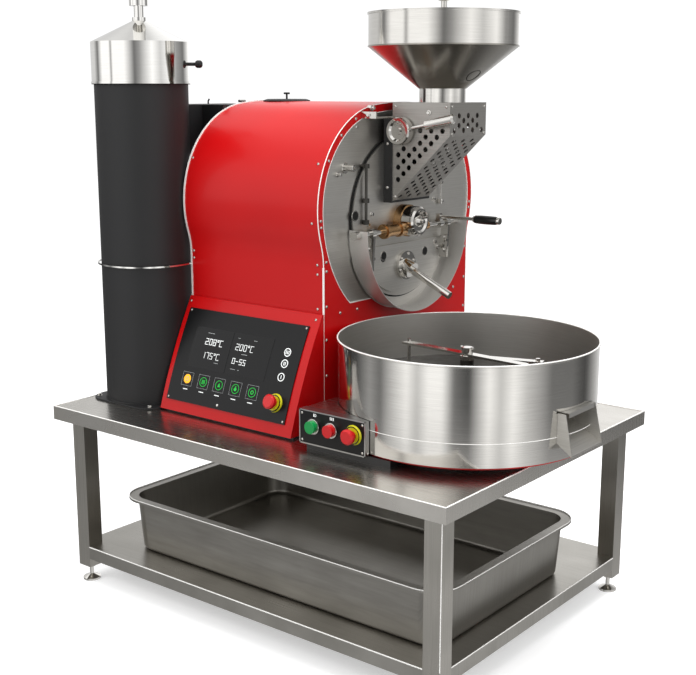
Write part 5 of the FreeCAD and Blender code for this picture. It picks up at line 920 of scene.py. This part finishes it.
def hopper_welds():
    neck = Solid()
    neck.collar((HOPPER_X, MIDDLE, WELD_UP), Z, bore=64.0, radius=66.2, height=2.2, sides=64)
    piece("neck_weld", "roaster", POLISHED, neck)
    outward = Vector((math.cos(PATCH_TURN), math.sin(PATCH_TURN), -CONE_SPREAD))
    line = [on_cone(PATCH_TURN + PATCH_RADIUS * math.cos(a) / PATCH_REACH,
                    PATCH_UP + PATCH_RADIUS * math.sin(a) / SLANT)
            for a in (math.radians(12 * i) for i in range(30))]
    patch = Solid()
    patch.ring_rod(line, 1.5, outward)
    piece("hopper_patch_weld", "roaster", ("polished_steel", dark_steel), patch)


# Cyclone and duct: the cap's seal, the foot plate and its bolts, a cover on the hood, its knob
# and a hook
SEAL_UP = 1484.0
FOOT_HALF, FOOT_CORNER = 138.0, 56.5
FOOT_LAYERS = ((0.5, 0.0), (0.0, 0.8), (0.0, 4.2), (1.2, 5.2))
FOOT_BOLT, FOOT_BOLT_UP = 112, 555
HOOD_X, HOOD_UP = -400, 1434
HOOK = [(-655, 60, 1425), (-655, 60, 1434), (-650, 60, 1440)]


def cyclone_fittings():
    seal, foot = Solid(), Solid()
    seal.collar((CYCLONE_X, CYCLONE_Y, SEAL_UP), Z, bore=136.0, radius=141.5, height=2.0, sides=96)
    piece("cap_seal", "roaster", SEAL, seal)
    layers = []
    for shrink, lift in FOOT_LAYERS:
        half = FOOT_HALF - shrink
        layers.append(rounded_loop((CYCLONE_X - half, CYCLONE_Y - half),
                                   (CYCLONE_X + half, CYCLONE_Y + half),
                                   FOOT_CORNER - shrink, TABLE_UP + lift))
    foot.skin(layers)
    piece("cyclone_foot", "roaster", MATTE_BLACK, foot)
    marks = [((CYCLONE_X + x, CYCLONE_Y + y, FOOT_BOLT_UP), Z)
             for x in (-FOOT_BOLT, FOOT_BOLT) for y in (-FOOT_BOLT, FOOT_BOLT)]
    bolts("cyclone_bolts", "roaster", marks, 12, 7)


def hood_fittings():
    cover, knob = Solid(), Solid()
    cover.turned((HOOD_X, MIDDLE, HOOD_UP), Z, [(0, 0), (72, 0), (72, 3), (60, 7), (0, 7)], 40)
    piece("hood_cap", "roaster", MATTE_BLACK, cover)
    knob.rod((HOOD_X, MIDDLE, HOOD_UP + 6), (HOOD_X, MIDDLE, HOOD_UP + 22), radius=3)
    knob.rod((HOOD_X - 11, MIDDLE, HOOD_UP + 24), (HOOD_X + 11, MIDDLE, HOOD_UP + 24), radius=3)
    for a, b in zip(HOOK, HOOK[1:]):
        knob.rod(a, b, radius=2.5)
    piece("hood_knob", "roaster", BLACK_GRIP, knob)


# Console: a bowed panel that leans back. Places on it are given by x and by the way up its chord.
PANEL_LENGTH, PANEL_SAG, BOW = 344.03, 8, 1853.25
RUN, RISE = 136 / PANEL_LENGTH, 316 / PANEL_LENGTH
PANEL_FOOT_Y, PANEL_FOOT_UP, PANEL_OUT = -348, 556, 3.3
PANEL_WAY = Vector((0, -RISE, RUN))
PRINT = 0.5


def on_panel(x, up, out=0.0):
    bow = math.sqrt(BOW * BOW - (up - PANEL_LENGTH / 2) ** 2) - (BOW - PANEL_SAG)
    reach = bow + PANEL_OUT + out
    return Vector((x, PANEL_FOOT_Y + up * RUN - reach * RISE,
                   PANEL_FOOT_UP + up * RISE + reach * RUN))


def on_screen(x, up):
    return on_panel(x, up, 0.4)


def panel_sheet(solid, left, right, low, high, thick=PRINT):
    """A thin sheet that lies on the bowed panel."""
    steps = max(1, round((high - low) / 12))
    rings = []
    for i in range(steps + 1):
        up = low + (high - low) * i / steps
        rings.append([on_panel(left, up), on_panel(right, up), on_panel(right, up, thick),
                      on_panel(left, up, thick)])
    solid.skin(rings)


def panel_disc(solid, x, up, radius):
    solid.disc(on_panel(x, up), PANEL_WAY, radius, PRINT, sunk=1)


def panel_ring(solid, x, up, bore, radius, thick=PRINT):
    solid.band(on_panel(x, up), PANEL_WAY, bore, radius, thick)


# Screen: two panes, and generic readings written in straight strokes
SCREEN_LOW, SCREEN_HIGH = 135, 256
PANES = ((-401.5, -252.6), (-250.4, -99.5))
STROKES = {"a": (0, 1, 1, 1), "b": (1, 1, 1, 0.5), "c": (1, 0.5, 1, 0), "d": (0, 0, 1, 0),
           "e": (0, 0, 0, 0.5), "f": (0, 0.5, 0, 1), "g": (0, 0.5, 1, 0.5)}
FIGURES = {"0": "abcdef", "1": "bc", "2": "abged", "5": "afgcd", "7": "abc", "8": "abcdefg",
           "C": "afed", "-": "g"}
DEGREE = [(0, 1, 0.5, 1), (0.5, 1, 0.5, 0.72), (0, 0.72, 0.5, 0.72), (0, 0.72, 0, 1)]
LEFT_READING, RIGHT_READING = -352, -232
TOP_ROW, LOW_ROW = 207, 167
# Small print: left end, height and length of each bar.
SMALL_PRINT = ((LEFT_READING, 240, 26), (RIGHT_READING, 240, 8), (-172, 240, 12),
               (-300, 157, 16), (RIGHT_READING, 150, 18), (-205, 150, 6), (-205, 196, 22))


def figures(solid, text, left, low, width, height, bar):
    """Writes figures on the screen out of strokes as wide as the bar."""
    half = bar / 2
    for sign in text:
        strokes = DEGREE if sign == "o" else [STROKES[k] for k in FIGURES[sign]]
        for x0, y0, x1, y1 in strokes:
            xs = sorted((left + x0 * width, left + x1 * width))
            ups = sorted((low + y0 * height, low + y1 * height))
            corners = [on_screen(xs[0] - half, ups[0] - half),
                       on_screen(xs[1] + half, ups[0] - half),
                       on_screen(xs[1] + half, ups[1] + half),
                       on_screen(xs[0] - half, ups[1] + half)]
            out = (corners[1] - corners[0]).cross(corners[3] - corners[0]).normalized()
            solid.prism(corners, out * PRINT)
        left += width * (1.1 if sign == "o" else 1.6)


def make_screen():
    panes, reading, small = Solid(), Solid(), Solid()
    for left, right in PANES:
        panel_sheet(panes, left, right, SCREEN_LOW, SCREEN_HIGH)
    piece("console_screen", "roaster", ("panel_black", screen_glass), panes)
    figures(reading, "208oC", LEFT_READING, TOP_ROW, 9.5, 17, 2.0)
    figures(reading, "175oC", LEFT_READING, LOW_ROW, 9.5, 17, 1.6)
    figures(reading, "200oC", RIGHT_READING, TOP_ROW, 9.5, 17, 1.6)
    figures(reading, "0-55", RIGHT_READING, LOW_ROW, 8.5, 15, 1.7)
    piece("screen_figures", "roaster", (None, white_mark), reading)
    for x, up, width in SMALL_PRINT:
        small.prism([on_screen(x, up), on_screen(x + width, up), on_screen(x + width, up + 1.6),
                     on_screen(x, up + 1.6)], PANEL_WAY * PRINT)
    piece("screen_marks", "roaster", (None, dim_mark), small)


# Keys: a row of five outlined squares with a lamp and four symbols, and three round keys beside
# the screen
KEYS_UP, KEY_LINE = 98.5, 0.3
LAMP_X, DRUM_KEY_X, START_KEY_X, POWER_KEY_X, RING_KEY_X = -386.5, -322, -259.5, -195.5, -131.5
KEY_SIDES = ((-21, -20, 21, -19.2), (-21, 19.2, 21, 20), (-21, -20, -20.2, 20),
             (20.2, -20, 21, 20))
ROUND_KEYS = ((-42.5, 226, 3), (-42.5, 194, 2), (-42.5, 156, 1))


def make_keys():
    lines, amber, green, white = Solid(), Solid(), Solid(), Solid()
    for x in (LAMP_X, DRUM_KEY_X, START_KEY_X, POWER_KEY_X, RING_KEY_X):
        for left, low, right, high in KEY_SIDES:
            panel_sheet(lines, x + left, x + right, KEYS_UP + low, KEYS_UP + high, KEY_LINE)
        panel_sheet(white, x - 9, x + 9, KEYS_UP - 31, KEYS_UP - 28.5, KEY_LINE)
        if x != LAMP_X:
            panel_ring(green, x, KEYS_UP, 12.2, 13.8)
    panel_disc(amber, LAMP_X, KEYS_UP, 13.5)
    for shift in (-5.5, -1, 3.5):
        left = DRUM_KEY_X + shift
        panel_sheet(green, left, left + 2.5, KEYS_UP - 6, KEYS_UP + 6)
    green.prism([on_panel(START_KEY_X - 5, KEYS_UP - 5), on_panel(START_KEY_X + 5, KEYS_UP - 5),
                 on_panel(START_KEY_X, KEYS_UP + 7)], PANEL_WAY * PRINT)
    panel_disc(green, POWER_KEY_X, KEYS_UP - 1.5, 5)
    panel_sheet(green, POWER_KEY_X - 1.3, POWER_KEY_X + 1.3, KEYS_UP, KEYS_UP + 8)
    panel_ring(green, RING_KEY_X, KEYS_UP, 3.5, 6.0)
    panel_ring(lines, LAMP_X, KEYS_UP, 5.0, 7.0, 0.8)
    for x, up, bars in ROUND_KEYS:
        panel_ring(white, x, up, 9.5, 12.0)
        for i in range(bars):
            middle = x + (i - (bars - 1) / 2) * 5
            panel_sheet(white, middle - 1.2, middle + 1.2, up - 5, up + 5)
    # The grey key outlines and the white print glow a little: a painted glow.
    piece("key_outlines", "roaster", (None, dim_mark), lines)
    piece("key_amber", "roaster", (None, amber_mark), amber)
    piece("key_green", "roaster", (None, green_mark), green)
    piece("panel_marks", "roaster", (None, white_mark), white)


# Dark faces of the yellow rings, the lamp under the keys and the console's screws
BUTTON_UP, BOX_FACE = 620, -384
START_X, HALT_X, BOX_STOP_X = 149, 208, 277
CONSOLE_STOP_X, CONSOLE_STOP_UP = -42.5, 82
RING_BORE, RING_RADIUS = 20.8, 23.4


def console_fittings():
    faces, lamp = Solid(), Solid()
    faces.collar((BOX_STOP_X, BOX_FACE - 4.6, BUTTON_UP), -Y, RING_BORE, RING_RADIUS, 1.0)
    faces.band(on_panel(CONSOLE_STOP_X, CONSOLE_STOP_UP, 4.6), PANEL_WAY, RING_BORE, RING_RADIUS,
               2, sides=32)
    piece("stop_ring_faces", "roaster", ("panel_black", grip_plastic), faces)
    lamp.turned(on_panel(-248.5, 43, -1), PANEL_WAY,
                [(0, 0), (4, 0), (4, 2.5), (3, 3.2), (0, 3.2)])
    piece("panel_lamp", "roaster", POLISHED, lamp)
    panel_corners = [(on_panel(x, up), PANEL_WAY) for x in (-446, -2) for up in (38.5, 300.5)]
    fasten("panel_screws", "roaster", PAN_HEAD, 7, panel_corners, 8)
    housing_corners = [(on_panel(x, 328) - PANEL_WAY * PANEL_OUT, PANEL_WAY) for x in (-463, 18)]
    fasten("console_screws", "roaster", PAN_HEAD, 8, housing_corners, 9)


# Control box: bright folded edges, corner screws, rims behind the buttons and two marks
BOX_LEFT, BOX_RIGHT, BOX_LOW, BOX_HIGH = 98.5, 315.5, 567.8, 660.2
BOX_FRONT, BOX_BACK = -385.2, -381
FOLD, PROUD = 3.4, 0.2
LEGEND_LOW, LEGEND_HIGH = 645, 653


def control_box():
    edges, bezels, legends = Solid(), Solid(), Solid()
    for low in (BOX_HIGH - FOLD, BOX_LOW):
        edges.block((BOX_LEFT, BOX_FRONT, low), (BOX_RIGHT, BOX_BACK, low + FOLD))
    for left in (BOX_LEFT - PROUD, BOX_RIGHT + PROUD - FOLD):
        edges.block((left, BOX_FRONT, BOX_LOW), (left + FOLD, BOX_BACK, BOX_HIGH))
    piece("control_box_edges", "roaster", ("box_aluminium", aluminium), edges)
    corners = [((x, BOX_FACE, z), -Y) for x in (108, 306) for z in (578, 650)]
    fasten("control_box_screws", "roaster", PAN_HEAD, 7, corners, 10)
    for x in (START_X, HALT_X):
        bezels.collar((x, BOX_FACE, BUTTON_UP), -Y, bore=16.6, radius=20.5, height=9)
    piece("button_bezels", "roaster", POLISHED, bezels)
    for left, width in ((146, 2), (201, 2.4), (206, 2.4), (211, 2.4)):
        legends.block((left, BOX_FACE - PRINT, LEGEND_LOW),
                      (left + width, BOX_FACE + PRINT, LEGEND_HIGH))
    legends.band((152, BOX_FACE, 649), -Y, bore=2.4, radius=3.8, thick=PRINT, sides=16)
    # The printed legends glow a little: a painted glow.
    piece("box_legends", "roaster", (None, white_mark), legends)
    side_marks = [((BOX_RIGHT, y, 576), X) for y in (-374, -363)]
    fasten("box_side_screws", "roaster", PAN_HEAD, 6, side_marks, 11)


# Cooling bin: its rolled rim and joint line as (outward, upward) pairs, and the agitator's nut
RIM_SECTION = ((-0.6, -3.2), (1.4, -2.2), (1.9, 0), (1.0, 1.6), (-0.8, 1.6), (-1.6, 0))
JOINT_SECTION = ((BIN_SKIN - BIN_OUT, 0), (0.5, 0.2), (0.9, 1.0), (0.5, 1.8),
                 (BIN_SKIN - BIN_OUT, 2.0))
NUT_UP = 776


def bin_fittings():
    beads, nut = Solid(), Solid()
    for up, section in ((BIN_TOP, RIM_SECTION), (BIN_JOINT, JOINT_SECTION)):
        beads.turned((BIN_X, BIN_Y, up), Z, [(BIN_OUT + out, rise) for out, rise in section], 180,
                     hoop=True)
    # The rim and joint beads are near white: a painted highlight along them.
    piece("bin_rim", "roaster", PAINTED_HIGHLIGHT, beads)
    nut.turned((BIN_X, BIN_Y, NUT_UP), Z,
               [(0, 0), (15, 0), (15, 6), (9, 8), (9, 20), (6, 23), (0, 23)])
    for side in (-1, 1):
        nut.rod((BIN_X, BIN_Y, NUT_UP + 16), (BIN_X + side * 20, BIN_Y, NUT_UP + 24), radius=3.5)
    piece("agitator_nut", "agitator", POLISHED, nut)


# Edges of the table, shelf, near leg and pan, drawn as pale rods: a painted highlight
EDGE, INSIDE = 2.2, 0.1
TOP_EDGE_UP, SHELF_EDGE_UP = 549.8, 112.6
PAN_EDGE_UP, PAN_EDGE = 281.8, 1.4


def folded_edges():
    edges = Solid()
    reach = TABLE_HALF_DEPTH - INSIDE
    for y in (-reach + EDGE, reach - EDGE):
        edges.rod((TABLE_LEFT, y, TOP_EDGE_UP), (TABLE_RIGHT, y, TOP_EDGE_UP), EDGE, 10)
    for x in (TABLE_LEFT + EDGE, TABLE_RIGHT - EDGE):
        edges.rod((x, -reach, TOP_EDGE_UP), (x, reach, TOP_EDGE_UP), EDGE, 10)
    for y in (-478.9, 478.9):
        edges.rod((-664.0, y, SHELF_EDGE_UP), (563.0, y, SHELF_EDGE_UP), EDGE, 10)
    for x in (-713.4, 612.4):
        edges.rod((x, -429.5, SHELF_EDGE_UP), (x, 429.5, SHELF_EDGE_UP), EDGE, 10)
    edges.rod((612.6, -479.1, 118), (612.6, -479.1, 508), 1.3, 10)
    piece("folded_edges", "roaster", ("table_steel", painted_highlight_edge), edges)


def pan_edge():
    rim = Solid()
    rim.ring_rod(rounded_loop((-588.6, -424.6), (578.6, 284.6), 83.6, PAN_EDGE_UP), PAN_EDGE)
    piece("pan_edge", "bean_pan", ("pan_steel", painted_highlight_edge), rim)


sheet_edges()
housing_screws()
flank_edge()
cover_fittings()
trough_back()
discharge_fittings()
lever_grip()
shaft_end()
feed_screws()
hopper_welds()
cyclone_fittings()
hood_fittings()
make_screen()
make_keys()
console_fittings()
control_box()
bin_fittings()
folded_edges()
pan_edge()
